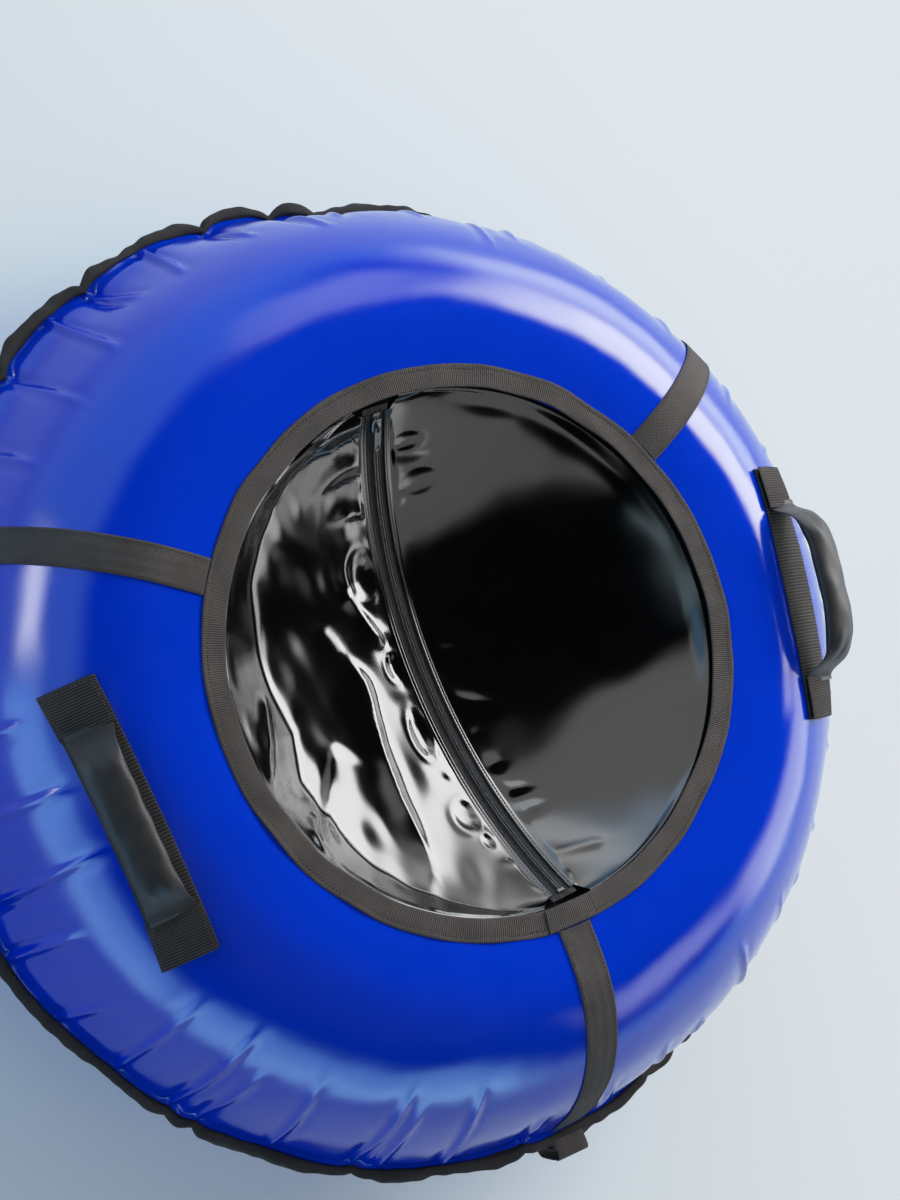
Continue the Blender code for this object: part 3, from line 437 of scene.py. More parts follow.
for name, mat in (
    ("valve_patch", valve_rubber_mat),
    ("valve_stem", valve_rubber_mat),
    ("valve_core", brass_mat),
    ("valve_cap", plastic_mat),
    ("zip_slider", gunmetal_mat),
    ("zip_pull", gunmetal_mat),
    ("zip_stop_front", gunmetal_mat),
    ("zip_stop_rear", gunmetal_mat),
):
    dress(name, mat)
for name in ("zip_slider", "zip_pull", "zip_stop_front", "zip_stop_rear"):
    bevel = nodes[name].modifiers.new("edge", "BEVEL")
    bevel.width, bevel.segments, bevel.limit_method = 0.00025, 2, "ANGLE"
for name in ("valve_patch", "valve_stem", "valve_core", "valve_cap"):
    nodes[name].data.shade_smooth()

# ---------------------------------------------------------------- camera
camera_data = bpy.data.cameras.new("camera")
camera_data.sensor_width = 36.0
camera_data.lens = 60.54
camera_data.clip_start, camera_data.clip_end = 0.05, 60.0
camera = bpy.data.objects.new("camera", camera_data)
scene.collection.objects.link(camera)
camera.matrix_world = Matrix(
    (
        (0.85877768, 0.27397220, -0.43294358, -0.91307548),
        (-0.31244305, 0.94975162, -0.01874049, 0.01806033),
        (0.40605449, 0.15136413, 0.90122619, 2.23110593),
        (0, 0, 0, 1),
    )
)
scene.camera = camera

# ---------------------------------------------------------------- the folds of the cover
# The rim is gathered: the cloth is full between its folds, and a narrow pleat runs in from each.
rng = np.random.RandomState(7)
fold_az, a = [], 2.0
while a < 359.0:
    fold_az.append(a)
    a += rng.choice([3.2, 5.6, 8.4, 9.8], p=[0.14, 0.22, 0.38, 0.26]) * rng.uniform(0.88, 1.12)
fold_az = np.array([x for x in fold_az if min(abs((x - s + 180) % 360 - 180) for s in STRAP_AZ.values()) > 3.2])
FOLDS = {
    "az": np.radians(fold_az),
    "deep": rng.uniform(0.55, 1.1, len(fold_az)),
    "long": rng.uniform(0.095, 0.200, len(fold_az)),
    "skew": rng.normal(0, 0.008, len(fold_az)),
    "bend": rng.normal(0, 0.010, len(fold_az)),
    "side": np.where(rng.uniform(size=len(fold_az)) < 0.62, 1.0, -1.0),
    "nip": rng.choice([0.12, 0.45, 1.0], p=[0.38, 0.24, 0.38], size=len(fold_az)),
}
GATHERS = FOLDS["az"][FOLDS["nip"] > 0.3]


def arc_from(az, a):
    return ((az - a + pi) % TAU - pi) * 0.53


def rim_pinch(az):
    """From 0 between folds to 1 at a fold."""
    total = np.zeros_like(az)
    for a, nip in zip(FOLDS["az"], FOLDS["nip"]):
        total = np.maximum(total, nip * np.exp(-np.abs(arc_from(az, a) / 0.0085) ** 1.4))
    return total


def fullness(az):
    """How far the cloth stands out between two folds: 0 at each fold."""
    folds = np.concatenate([GATHERS[-1:] - TAU, GATHERS, GATHERS[:1] + TAU])
    az = az % TAU
    i = np.clip(np.searchsorted(folds, az, side="right") - 1, 0, len(folds) - 2)
    wide = folds[i + 1] - folds[i]
    q = (az - folds[i]) / wide
    return np.clip(4 * q * (1 - q), 0, 1) ** 0.65 * np.minimum(1.0, wide * 0.53 / 0.075)


def crimp(az, depth, sign=1.0):
    """Height of the folds over the smooth cover, at this distance in from the seam."""
    total = np.zeros_like(az)
    for a, deep, long, skew, bend, side, nipped in zip(*(FOLDS[k] for k in ("az", "deep", "long", "skew", "bend", "side", "nip"))):
        t = np.clip(depth / long, 0, 1)
        x = arc_from(az, a) - skew * t - bend * t * t * sign
        near = np.abs(x) < 0.06
        x, t, d = x[near], t[near], depth[near]
        w = 0.0032 + 0.0030 * t
        fade = (1 - t) ** 0.55 * (1 - smooth(t, 0.75, 1.0))
        ridge = np.exp(-((x / w) ** 2))
        valleys = 0.55 * np.exp(-(((x - 2.1 * w * side) / (1.3 * w)) ** 2)) + 0.30 * np.exp(-(((x + 2.2 * w * side) / (1.5 * w)) ** 2))
        pleat = deep * fade * (0.0058 * ridge - 0.0042 * valleys)
        nip = -0.0036 * deep * nipped * np.exp(-((x / 0.013) ** 2)) * np.exp(-((d / 0.034) ** 2))
        total[near] += pleat + nip
    full = fullness(az)
    total += 0.0052 * full * smooth(depth, 0.002, 0.022) * (1 - smooth(depth, 0.022, 0.105))
    return total


def cover_height(r):
    r = np.asarray(r, float)
    u = (r - RING_OUT) / (CREST - RING_OUT)
    inner = RING_Z + 0.0006 + (2 * SEAM - RING_Z - 0.0006) * (2 * u - u * u)
    v = np.clip((r - CREST) / HALF_WIDTH, 0, 0.9999)
    outer = SEAM + HALF_HEIGHT * (1 - v**POWER) ** (1 / POWER)
    return np.where(r <= RING_OUT, RING_Z + 0.0006 * smooth(r, 0.290, 0.300), np.where(r <= CREST, inner, outer))


def section_line():
    """Smooth outline (r, z) of the top cover, from under the seat ring out to the flange."""
    r = np.concatenate([np.linspace(0.2765, 0.2995, 9), np.linspace(0.301, CREST, 30)])
    pts = [(x, float(cover_height(x))) for x in r]
    for t in np.radians(np.linspace(89.2, 19.0, 90)):
        pts.append((CREST + HALF_WIDTH * cos(t) ** (2 / POWER), SEAM + HALF_HEIGHT * sin(t) ** (2 / POWER)))
    start, before = np.array(pts[-1]), np.array(pts[-2])
    end = np.array([FLANGE + 0.0015, SEAM + 0.0014])
    c1 = start + unit(start - before) * 0.022
    c2 = end + np.array([-0.0125, 0.0016])
    for t in np.linspace(0.04, 1, 26):
        pts.append(tuple((1 - t) ** 3 * start + 3 * (1 - t) ** 2 * t * c1 + 3 * (1 - t) * t * t * c2 + t**3 * end))
    return np.array(pts)


line = section_line()
line_s = np.concatenate([[0], np.cumsum(np.hypot(*np.diff(line, axis=0).T))])
TOP_LONG = line_s[-1]


def spread(total, near, far, reach):
    """Distances from 0 to total, spaced near at the seam's end and far away from it."""
    s, out = total, [total]
    while s > 0:
        s -= near + (far - near) * float(smooth((total - s) / reach))
        out.append(s)
    out = np.array(out[::-1])
    out = (out - out[0]) * total / (out[-1] - out[0])
    return out


# Columns stand closer together at the folds.
dense = np.linspace(0, TAU, 14401)
weight = 1 + 1.5 * np.clip(rim_pinch(dense), 0, 1)
for a in FOLDS["az"]:
    weight += 2.2 * np.exp(-((arc_from(dense, a) / 0.014) ** 2))
grow = np.concatenate([[0], np.cumsum((weight[1:] + weight[:-1]) / 2)])
COLS = 1640
az_cols = np.interp(np.linspace(0, grow[-1], COLS, endpoint=False), grow, dense)
top_rows = spread(TOP_LONG, 0.0027, 0.0058, 0.16)


def seam_shift(az):
    """How far the seam line moves: out and up."""
    ring = np.stack([np.cos(az), np.sin(az), 0 * az], -1)
    pinch, full = rim_pinch(az), fullness(az)
    turn = np.degrees(az) % 360
    beyond = 1 - smooth(np.abs((turn - 5 + 180) % 360 - 180), 72, 96)
    rear = smooth(turn, 92, 118) * (1 - smooth(turn, 160, 185))
    out = -0.0010 + 0.0034 * full - 0.0046 * pinch + 0.0018 * field(ring, 0.30, 11)
    up = 0.0022 * field(ring, 0.34, 12) + 0.0016 * field(ring, 0.10, 13) - 0.0012 * full
    return out - 0.0140 * beyond + 0.0110 * rear, up - 0.0110 * beyond + 0.0080 * rear


def lined(rows, points, lengths):
    """Points and normals of an outline at these distances."""
    r, z = np.interp(rows, lengths, points[:, 0]), np.interp(rows, lengths, points[:, 1])
    dr = np.interp(rows + 0.002, lengths, points[:, 0]) - np.interp(rows - 0.002, lengths, points[:, 0])
    dz = np.interp(rows + 0.002, lengths, points[:, 1]) - np.interp(rows - 0.002, lengths, points[:, 1])
    length = np.maximum(np.hypot(dr, dz), 1e-9)
    return r, z, -dz / length, dr / length


def flat_map(az, s, first):
    """Where this point lay in the flat cut: the weave runs straight across the whole piece."""
    return np.stack([(s + first) * np.cos(az), (s + first) * np.sin(az)], -1)


class Cover:
    """A displaced cover and ways to lay things on it."""

    def __init__(self, rows, points, lengths, sign):
        r, z, nr, nz = lined(rows, points, lengths)
        A, S = np.meshgrid(az_cols, rows)
        R, Z = np.meshgrid(az_cols * 0 + 1, r)[1], np.meshgrid(az_cols, z)[1]
        NR, NZ = np.meshgrid(az_cols, nr)[1], np.meshgrid(az_cols, nz)[1]
        if sign < 0:
            NR, NZ = -NR, -NZ
        depth = np.abs(lengths[-1] - S) if sign > 0 else S
        near = np.exp(-((depth / 0.040) ** 2))
        out, up = seam_shift(A)
        P0 = np.stack([R * np.cos(A), R * np.sin(A), Z], -1)
        lift = crimp(A, depth, sign) * smooth(depth, -0.001, 0.010)
        if sign > 0:
            away = smooth(S, 0.012, 0.05)
            lift += away * (0.0006 * field(P0, 0.20, 21) + 0.00012 * field(P0, 0.06, 22))
            lift *= smooth(S, 0.018, 0.032)
        else:
            lift += 0.0008 * field(P0, 0.16, 31) + 0.00035 * field(P0, 0.05, 32)
        self.rows, self.sign = rows, sign
        rr = R + out * near + NR * lift
        zz = Z + up * near + NZ * lift
        if sign < 0:
            zz = np.maximum(zz, 0.0002)
        self.P = np.stack([rr * np.cos(A), rr * np.sin(A), zz], -1)
        self.N = np.stack([NR * np.cos(A), NR * np.sin(A), NZ], -1)
        self.s_of_r = (r, rows)
        self.cols = np.concatenate([az_cols, [az_cols[0] + TAU]])

    def at(self, s, az):
        """Point and normal at this distance along the outline and this azimuth."""
        i = np.clip(np.interp(s, self.rows, np.arange(len(self.rows))), 0, len(self.rows) - 1.0001)
        j = np.interp((np.asarray(az) - self.cols[0]) % TAU + self.cols[0], self.cols, np.arange(COLS + 1))
        i0, j0 = i.astype(int), np.minimum(j.astype(int), COLS - 1)
        fi, fj = (i - i0)[..., None], (j - j0)[..., None]
        j1 = (j0 + 1) % COLS
        out = []
        for G in (self.P, self.N):
            out.append(
                (G[i0, j0] * (1 - fi) + G[i0 + 1, j0] * fi) * (1 - fj)
                + (G[i0, j1] * (1 - fi) + G[i0 + 1, j1] * fi) * fj
            )
        return out[0], unit(out[1])

    def over(self, x, y):
        r, az = np.hypot(x, y), np.arctan2(y, x)
        return self.at(np.interp(r, *self.s_of_r), az)


top = Cover(top_rows, line, line_s, 1.0)
A, S = np.meshgrid(np.concatenate([az_cols, [az_cols[0] + TAU]]), top_rows)
top_piece = grid_piece("top_cover_cloth", top.P, flat_map(A, S, 0.2765), cover_top_mat, wrap_cols=True, flip=False)

# The bottom cover mirrors the flank, then lies flat where the tube rests.
flank = line[line[:, 0] > CREST + 0.020].copy()
flank[:, 1] = 2 * SEAM - flank[:, 1]
low = flank[flank[:, 1] > 0.022][::-1]
start, before, end = low[-1], low[-2], np.array([0.3700, 0.0004])
c1, c2 = start + unit(start - before) * 0.030, end + np.array([0.026, 0.0])
turn = [tuple((1 - t) ** 3 * start + 3 * (1 - t) ** 2 * t * c1 + 3 * (1 - t) * t * t * c2 + t**3 * end) for t in np.linspace(0.05, 1, 24)]
base_line = np.vstack([low, turn, [(0.33, 0.0004), (0.2, 0.0004), (0.02, 0.0004)]])
base_s = np.concatenate([[0], np.cumsum(np.hypot(*np.diff(base_line, axis=0).T))])
round_part = base_s[-4]
base_rows = round_part - spread(round_part, 0.0030, 0.0085, 0.16)[::-1]
base_rows = np.concatenate([base_rows, np.linspace(round_part, base_s[-1], 22)[1:]])
bottom = Cover(base_rows, base_line, base_s, -1.0)
A, S = np.meshgrid(np.concatenate([az_cols, [az_cols[0] + TAU]]), base_rows)
keep = slice(None)
P, UV = bottom.P, flat_map(A, base_s[-1] + 0.02 - S, 0.0)
quads, corner = grid_faces(*P.shape[:2], wrap_cols=True)
uv = UV[corner[..., 0], corner[..., 1]].reshape(-1, 2)
last = (P.shape[0] - 1) * COLS
fan = [[last + (j + 1) % COLS, last + j, P.shape[0] * COLS] for j in range(COLS)]
ends = UV[-1]
fan_uv = np.stack([np.stack([ends[(j + 1)], ends[j], (0.0, 0.0)]) for j in range(COLS)]).reshape(-1, 2)
bottom_piece = mesh_piece(
    "bottom_cover_cloth",
    np.vstack([P.reshape(-1, 3), [(0, 0, 0.0004)]]),
    quads[:, ::-1].tolist() + [f[::-1] for f in fan],
    np.vstack([uv.reshape(-1, 4, 2)[:, ::-1].reshape(-1, 2), fan_uv.reshape(-1, 3, 2)[:, ::-1].reshape(-1, 2)]),
    cover_base_mat,
)
for piece, node, label in ((top_piece, "top_cover", "cover_top"), (bottom_piece, "bottom_cover", "cover_base")):
    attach(piece, "root")
    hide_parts(node)

# ---------------------------------------------------------------- inner tube
# The rubber ring gives way under the rim, where the gathered cover draws in.
turns = np.radians(np.arange(0, 360, 3.75))
SKIN = 0.0022
c, q = np.cos(turns), np.sin(turns)
r = CREST + (HALF_WIDTH - SKIN) * np.sign(c) * np.abs(c) ** (2 / POWER)
z = np.maximum(SEAM + (HALF_HEIGHT - SKIN) * np.sign(q) * np.abs(q) ** (2 / POWER), SKIN + 0.0006)
give = 0.0130 * smooth(r, 0.425, 0.500) + 0.0012 * smooth(r, 0.330, 0.360)
r, z = r - give * np.clip(c, 0, 1) ** 0.5, z - give * q * 0.9 * (q > 0)
az_tube = np.linspace(0, TAU, 240, endpoint=False)
out, up = seam_shift(az_tube)
rows = []
for k in range(len(turns)):
    near = np.exp(-((hypot(FLANGE - r[k], z[k] - SEAM) / 0.048) ** 2))
    rr, zz = r[k] + np.minimum(out, 0) * near, z[k] + up * near
    mould = 0.0004 * np.exp(-(((np.degrees(turns[k]) - 180) / 4.0) ** 2))
    rows.append(np.stack([(rr + mould) * np.cos(az_tube), (rr + mould) * np.sin(az_tube), zz], -1))
U, V = np.meshgrid(np.concatenate([az_tube, [TAU]]) * CREST, np.linspace(0, 1.1, len(turns) + 1))
tube_piece = grid_piece("inner_tube_rubber", np.stack(rows), np.stack([U, V], -1), rubber_mat, wrap_rows=True, wrap_cols=True, flip=True)
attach(tube_piece, "root")
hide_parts("inner_tube")

# ---------------------------------------------------------------- rim binding
out, up = seam_shift(az_cols)
pinch, full = rim_pinch(az_cols), fullness(az_cols)
ring = np.stack([np.cos(az_cols), np.sin(az_cols), 0 * az_cols], -1)
thick = 0.84 - 0.24 * np.minimum(pinch, 1) + 0.08 * full + 0.07 * field(ring, 0.12, 41) + 0.05 * field(ring, 0.045, 45)
roll = 0.40 * field(ring, 0.16, 42)
centre_r, centre_z = 0.5338 + 0.0074 * thick + out, SEAM + up
around = np.linspace(0, TAU, 22, endpoint=False)
rows = []
for k, a in enumerate(around):
    c, s = np.cos(a + roll), np.sin(a + roll)
    # The tape's folded edge lies along the cover as a soft step.
    flatten = 1.0 - 0.20 * np.cos(2 * a) + 0.07 * np.exp(-(((a - 2.3) / 0.22) ** 2))
    twist = 0.035 * np.sin(az_cols * 0.545 * TAU / 0.034 + 2 * a) * full
    rr = centre_r + 0.0080 * (thick + twist) * np.sign(c) * np.abs(c) ** 0.85 * flatten
    zz = centre_z + 0.0080 * (thick + twist) * np.sign(s) * np.abs(s) ** 0.85
    rows.append(np.stack([rr * np.cos(az_cols), rr * np.sin(az_cols), zz], -1))
P = np.stack(rows)
U, V = np.meshgrid(np.concatenate([az_cols, [az_cols[0] + TAU]]) * 0.545, np.linspace(0, 0.050, 23))
binding = grid_piece("rim_binding_tape", P, np.stack([U, V], -1), binding_mat, wrap_rows=True, wrap_cols=True, flip=True)
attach(binding, "root")
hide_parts("rim_binding")


# ---------------------------------------------------------------- webbing and stitches
def webbing_piece(name, place, longs, width, thickness, mat, closed=False, arch=0.10, points=9, stitch_rows=(), groove=0.0):
    """Webbing along place(long, across) -> points and normals of what it lies on."""
    half = width / 2
    w_top = np.linspace(-1, 1, points) * (half - thickness * 0.35)
    loop = [(w, thickness * (1 - arch * abs(w / half) ** 6)) for w in w_top]
    loop += [(half, thickness * 0.62), (half, thickness * 0.25), (half - thickness * 0.3, 0.0)]
    loop += [(w, 0.0) for w in np.linspace(half * 0.5, -half * 0.5, 3)]
    loop += [(-half + thickness * 0.3, 0.0), (-half, thickness * 0.25), (-half, thickness * 0.62)]
    loop = np.array(loop)
    for at in stitch_rows:
        loop[:points, 1] -= groove * np.exp(-(((loop[:points, 0] - at) / 0.0011) ** 2))
    L, W = np.meshgrid(longs, loop[:, 0], indexing="ij")
    H = np.meshgrid(longs, loop[:, 1], indexing="ij")[1]
    B, N = place(L, W)
    P = B + N * H[..., None]
    extra = [longs[-1] + (longs[1] - longs[0])] if closed else []
    across = np.concatenate([loop[:, 0], [loop[0, 0]]])
    U, V = np.meshgrid(np.concatenate([longs, extra]), across, indexing="ij")
    return grid_piece(name, P, np.stack([U, V], -1), mat, wrap_rows=closed, wrap_cols=True, caps=not closed, flip=False, sharp=60)


STITCH = [(-1.0, 0.0, 0.1), (-0.75, 0.75, 0.75), (0.0, 1.0, 1.0), (0.75, 0.75, 0.75), (1.0, 0.0, 0.1)]


def stitches(name, points, normals, mat, length=0.0030, width=0.0009, rise=0.0006, along=None):
    """Thread showing between its holes: one small grain at each point."""
    points, normals = np.asarray(points, float), np.asarray(normals, float)
    if along is None:
        along = np.gradient(points, axis=0)
    along = unit(along - normals * (along * normals).sum(-1, keepdims=True))
    across = np.cross(normals, along)
    verts, faces, uvs, base = [], [], [], 0
    ringed = []
    for at, w, h in STITCH[1:4]:
        for k in range(6):
            a = TAU * k / 6
            ringed.append((at * length / 2, w * width / 2 * cos(a), rise * h * 0.5 + rise * h * 0.5 * sin(a)))
    shape = np.array([(-length / 2, 0, -rise * 0.2)] + ringed + [(length / 2, 0, -rise * 0.2)])
    fs = [[0, 1 + (k + 1) % 6, 1 + k] for k in range(6)]
    for r in range(2):
        fs += [[1 + r * 6 + k, 1 + r * 6 + (k + 1) % 6, 7 + r * 6 + (k + 1) % 6, 7 + r * 6 + k] for k in range(6)]
    fs += [[19, 13 + k, 13 + (k + 1) % 6] for k in range(6)]
    for p, n_, l_, c_ in zip(points, normals, along, across):
        verts.append(p + shape[:, :1] * l_ + shape[:, 1:2] * c_ + shape[:, 2:3] * n_)
        faces += [[i + base for i in f] for f in fs]
        base += len(shape)
    ob = mesh_piece(name, np.vstack(verts), faces, None, mat)
    return ob


def ring_place(lift):
    def place(L, W):
        az = L / 0.2875
        r = 0.2875 + W + 0.0006 * field(np.stack([np.cos(az), np.sin(az), 0 * az], -1), 0.25, 51)
        z = RING_Z + lift + 0.0006 * smooth(r, 0.290, 0.300)
        z = z + 0.0004 * field(np.stack([np.cos(az), np.sin(az), W * 8], -1), 0.22, 52)
        return np.stack([r * np.cos(az), r * np.sin(az), z], -1), np.stack([0 * az, 0 * az, 0 * az + 1], -1)

    return place


ring_long = TAU * 0.2875
ring_piece = webbing_piece(
    "seat_ring_webbing",
    ring_place(0.0004),
    np.linspace(0, ring_long, 560, endpoint=False),
    0.0250,
    WEBBING + 0.0002,
    webbing_mat,
    closed=True,
    points=15,
    stitch_rows=(0.0070,),
    groove=0.0005,
)
az = np.linspace(0, TAU, 430, endpoint=False)
r = 0.2875 + 0.0070
ring_stitch = stitches(
    "seat_ring_thread",
    np.stack([r * np.cos(az), r * np.sin(az), 0 * az + RING_Z + 0.0004 + WEBBING - 0.0001], -1),
    np.stack([0 * az, 0 * az, 0 * az + 1], -1),
    thread_grey_mat,
    along=np.stack([-np.sin(az), np.cos(az), 0 * az], -1),
)
lap_az = (radians(264.5), radians(275.5))
lap_piece = webbing_piece(
    "seat_ring_lap_webbing",
    ring_place(0.0004 + WEBBING + 0.0004),
    np.linspace(lap_az[0], lap_az[1], 40) * 0.2875,
    0.0236,
    WEBBING,
    webbing_mat,
    points=15,
    stitch_rows=(0.0070,),
    groove=0.0004,
)
for piece, node in ((ring_piece, "seat_ring_binding"), (lap_piece, "seat_ring_lap"), (ring_stitch, None)):
    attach(piece, "root")
    if node:
        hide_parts(node)


def strap_place(azimuth, lift, smooth_over=0.0):
    def place(L, W):
        r = np.interp(L, line_s, line[:, 0])
        az = azimuth + W / r
        P, N = top.at(L, az)
        P2, _ = top.at(L, azimuth + 0 * W)
        return P + N * lift, N

    return place


strap_pieces, strap_threads = [], []
strap_end = TOP_LONG - 0.010
for name, degrees_ in STRAP_AZ.items():
    azimuth = radians(degrees_)
    start = np.interp(0.3006, line[:, 0], line_s)
    longs = np.linspace(start, strap_end, 120)
    piece = webbing_piece(name + "_webbing", strap_place(azimuth, 0.0005), longs, 0.038, WEBBING, strap_mat, points=13)
    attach(piece, "root")
    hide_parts(name)
    strap_pieces.append(piece)
    at = np.arange(start + 0.004, strap_end - 0.01, 0.0042)
    for side in (-1, 1):
        P, N = strap_place(azimuth, 0.0005 + WEBBING - 0.0002)(at, at * 0 + side * 0.0162)
        thread = stitches(name + "_thread_" + ("a" if side < 0 else "b"), P, N, thread_grey_mat)
        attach(thread, "root")

# ---------------------------------------------------------------- zip


def zip_at(angle, across, up):
    angle = np.asarray(angle, float)[..., None]
    out = SAG_DIR * np.cos(angle) + ZIP_LINE * np.sin(angle)
    return ZIP_CENTRE + out * ZIP_R + ACROSS * np.asarray(across, float)[..., None] - out * np.asarray(up, float)[..., None]


zip_angles = np.linspace(-ZIP_HALF, ZIP_HALF, 150)
for side, sign in (("left", -1), ("right", 1)):
    loop = [(0.0003, -0.0009), (0.0160, -0.0009), (0.0160, -0.0002)]
    for w in (0.0150, 0.0125, 0.0100, 0.0092, 0.0085, 0.0078, 0.0070, 0.0062, 0.0055, 0.0048, 0.0040, 0.0034, 0.0020, 0.0003):
        ridge = 0.0005 * np.exp(-(((w - 0.0085) / 0.0006) ** 2)) + 0.0006 * np.exp(-(((w - 0.0055) / 0.0006) ** 2))
        loop.append((w, 0.0001 + ridge))
    loop = np.array(loop)
    G, W = np.meshgrid(zip_angles, loop[:, 0] * sign, indexing="ij")
    H = np.meshgrid(zip_angles, loop[:, 1], indexing="ij")[1]
    U, V = np.meshgrid(zip_angles * ZIP_R, np.concatenate([loop[:, 0], [loop[0, 0]]]), indexing="ij")
    tape = grid_piece("zip_tape_%s_cloth" % side, zip_at(G, W, H), np.stack([U, V], -1), tape_mat, wrap_cols=True, caps=True, flip=sign > 0, sharp=50)
    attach(tape, "root")
    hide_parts("zip_tape_" + side)
    # Coil: one turn every 1.4 mm, each a small arch over the tape's edge.
    turns = np.arange(-ZIP_HALF * 0.965, ZIP_HALF * 0.965, 0.0014 / ZIP_R) + (0.0 if sign < 0 else 0.0007 / ZIP_R)
    verts, faces = [], []
    arch = [(0.0000, 0.0012), (0.0004, 0.0024), (0.0016, 0.0030), (0.0028, 0.0024), (0.0033, 0.0010)]
    shape, fs = [], []
    for w, h in arch:
        for dl, dh in ((-0.00050, -0.0003), (0.0, 0.0004), (0.00050, -0.0003)):
            shape.append((dl, w * sign, h + dh))
    for k in range(len(arch) - 1):
        for m in range(2):
            q = [k * 3 + m, k * 3 + m + 1, k * 3 + m + 4, k * 3 + m + 3]
            fs.append(q if sign < 0 else q[::-1])
    shape = np.array(shape)
    for b, t in enumerate(turns):
        verts.append(zip_at(t + shape[:, 0] / ZIP_R, shape[:, 1], shape[:, 2]))
        faces += [[i + b * len(shape) for i in f] for f in fs]
    coil = mesh_piece("zip_coil_%s_turns" % side, np.vstack(verts), faces, None, coil_mat)
    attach(coil, "root")
    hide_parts("zip_coil_" + side)

# ---------------------------------------------------------------- seat panels
PANEL_LOW = 0.0009
PANEL_TOP = PANEL_LOW + 0.0012
LAP_Z = RING_Z - 0.0012 - 0.0003
RIM_IN = RING_IN - 0.0010


def ring_azimuth(sign, fan):
    """Azimuth at the seat ring; the fan opens evenly on both sides of the zip's ends."""
    rear, front = ZIP_CENTRE + ZIP_R * (SAG_DIR * cos(ZIP_HALF) + ZIP_LINE * sin(ZIP_HALF)), ZIP_CENTRE + ZIP_R * (SAG_DIR * cos(ZIP_HALF) - ZIP_LINE * sin(ZIP_HALF))
    rear, front = atan2(-rear[0], rear[1]), atan2(front[0], -front[1])
    share = np.sin(fan) / sin(radians(84))
    return (fan if sign > 0 else pi - fan) + (rear + front) / 2 + (rear - front) / 2 * share


BEND_AT = [-1.0, -0.6, -0.45, -0.22, -0.04, 0.26, 0.54, 0.75, 1.0]
BEND = [0.76, 0.77, 0.78, 0.77, 0.67, 0.74, 0.80, 0.79, 0.75]


def panel_height(sign, fan, u):
    """Share of the panel's drop at this share of its width; the left one has a slack bottom."""
    if sign > 0:
        return u**1.7
    share = np.sin(fan) / sin(radians(84))
    bend = np.interp(share, BEND_AT, BEND)
    bend = bend + 0.012 * np.sin(9 * share + 0.7)

    def raw(q):
        t = q - bend
        return 0.5 * q + 0.5 / (1 - bend) * (t + np.hypot(t, 0.036)) / 2

    return (raw(u) - raw(0)) / (raw(1) - raw(0))


def seat_base(sign, fan, u):
    """The smooth seat: fan from the rear to the front, u from the zip's edge out to the ring."""
    angle = (ZIP_HALF - 0.016) * np.sin(fan) / sin(radians(84))
    start = zip_at(angle, sign * (0.0178 + 0 * angle), PANEL_TOP + 0 * angle)
    azimuth = ring_azimuth(sign, fan)
    end = np.stack([RIM_IN * np.cos(azimuth), RIM_IN * np.sin(azimuth), 0 * fan + LAP_Z - 0.0012], -1)
    p = start + (end - start) * u[..., None]
    p[..., 2] = start[..., 2] + (end - start)[..., 2] * panel_height(sign, fan, u)
    return p


CAM_AT = np.array([-0.91307548, 0.01806033, 2.23110593])
CAM_RIGHT = np.array([0.85877768, -0.31244305, 0.40605449])
CAM_UP = np.array([0.27397220, 0.94975162, 0.15136413])
CAM_BACK = np.array([-0.43294358, -0.01874049, 0.90122619])


def in_photo(P):
    """Where these points stand in the photo, in its 900 x 1200 pixels."""
    q = P - CAM_AT
    z = -(q @ CAM_BACK)
    return 450 + 2018 * (q @ CAM_RIGHT) / z, 600 - 2018 * (q @ CAM_UP) / z


# Folds of the seat as the photo shows them. Each ridge runs through these pixels, with the width of
# its left and right flank and its height in millimetres; a ridge that starts at the zip stays high there.
# Each dimple has its middle, its two radii in pixels and its depth in millimetres.
SEAT_FOLDS = {
    "left": [
        ([(366, 421), (325, 440), (284, 464)], 12, 7, 3.4, "zip"),
        ([(368, 462), (340, 472), (315, 495)], 11, 6, 3.8, "zip"),
        ([(364, 510), (350, 515), (330, 524)], 8, 5, 2.2, "zip"),
        ([(366, 437), (352, 446)], 6, 5, 1.4, "zip"),
        ([(238, 486), (262, 520), (296, 566), (330, 600)], 26, 12, 1.1, "both"),
        ([(318, 628), (330, 642), (340, 660)], 9, 9, 1.6, "both"),
        ([(341, 590), (363, 620), (387, 650)], 9, 5, 2.6, "both"),
        ([(344, 654), (367, 693), (381, 750), (399, 800), (420, 842), (434, 869)], 16, 6, 4.6, "both"),
        ([(364, 705), (378, 745), (397, 792), (425, 850), (438, 910)], 10, 11, 2.8, "both"),
        ([(262, 690), (268, 730), (272, 790)], 7, 5, 2.6, "both"),
        ([(337, 742), (329, 800), (326, 862)], 6, 24, 3.4, "both"),
        ([(308, 812), (318, 845), (322, 868)], 5, 5, 2.4, "both"),
    ],
    "right": [
        ([(392, 455), (412, 452), (432, 450)], 7, 7, 1.4, "zip"),
        ([(410, 637), (445, 640), (488, 645)], 9, 7, 2.6, "zip"),
        ([(436, 700), (470, 702), (506, 706)], 9, 7, 2.6, "zip"),
        ([(477, 772), (507, 761)], 5, 5, 1.6, "zip"),
        ([(488, 790), (515, 788), (541, 784)], 5, 5, 1.6, "zip"),
        ([(508, 818), (550, 800)], 6, 5, 1.4, "zip"),
        ([(540, 862), (580, 846), (610, 838)], 6, 5, 1.4, "both"),
        ([(440, 397), (520, 414), (600, 458), (660, 518), (692, 566)], 8, 12, 1.6, "both"),
    ],
}
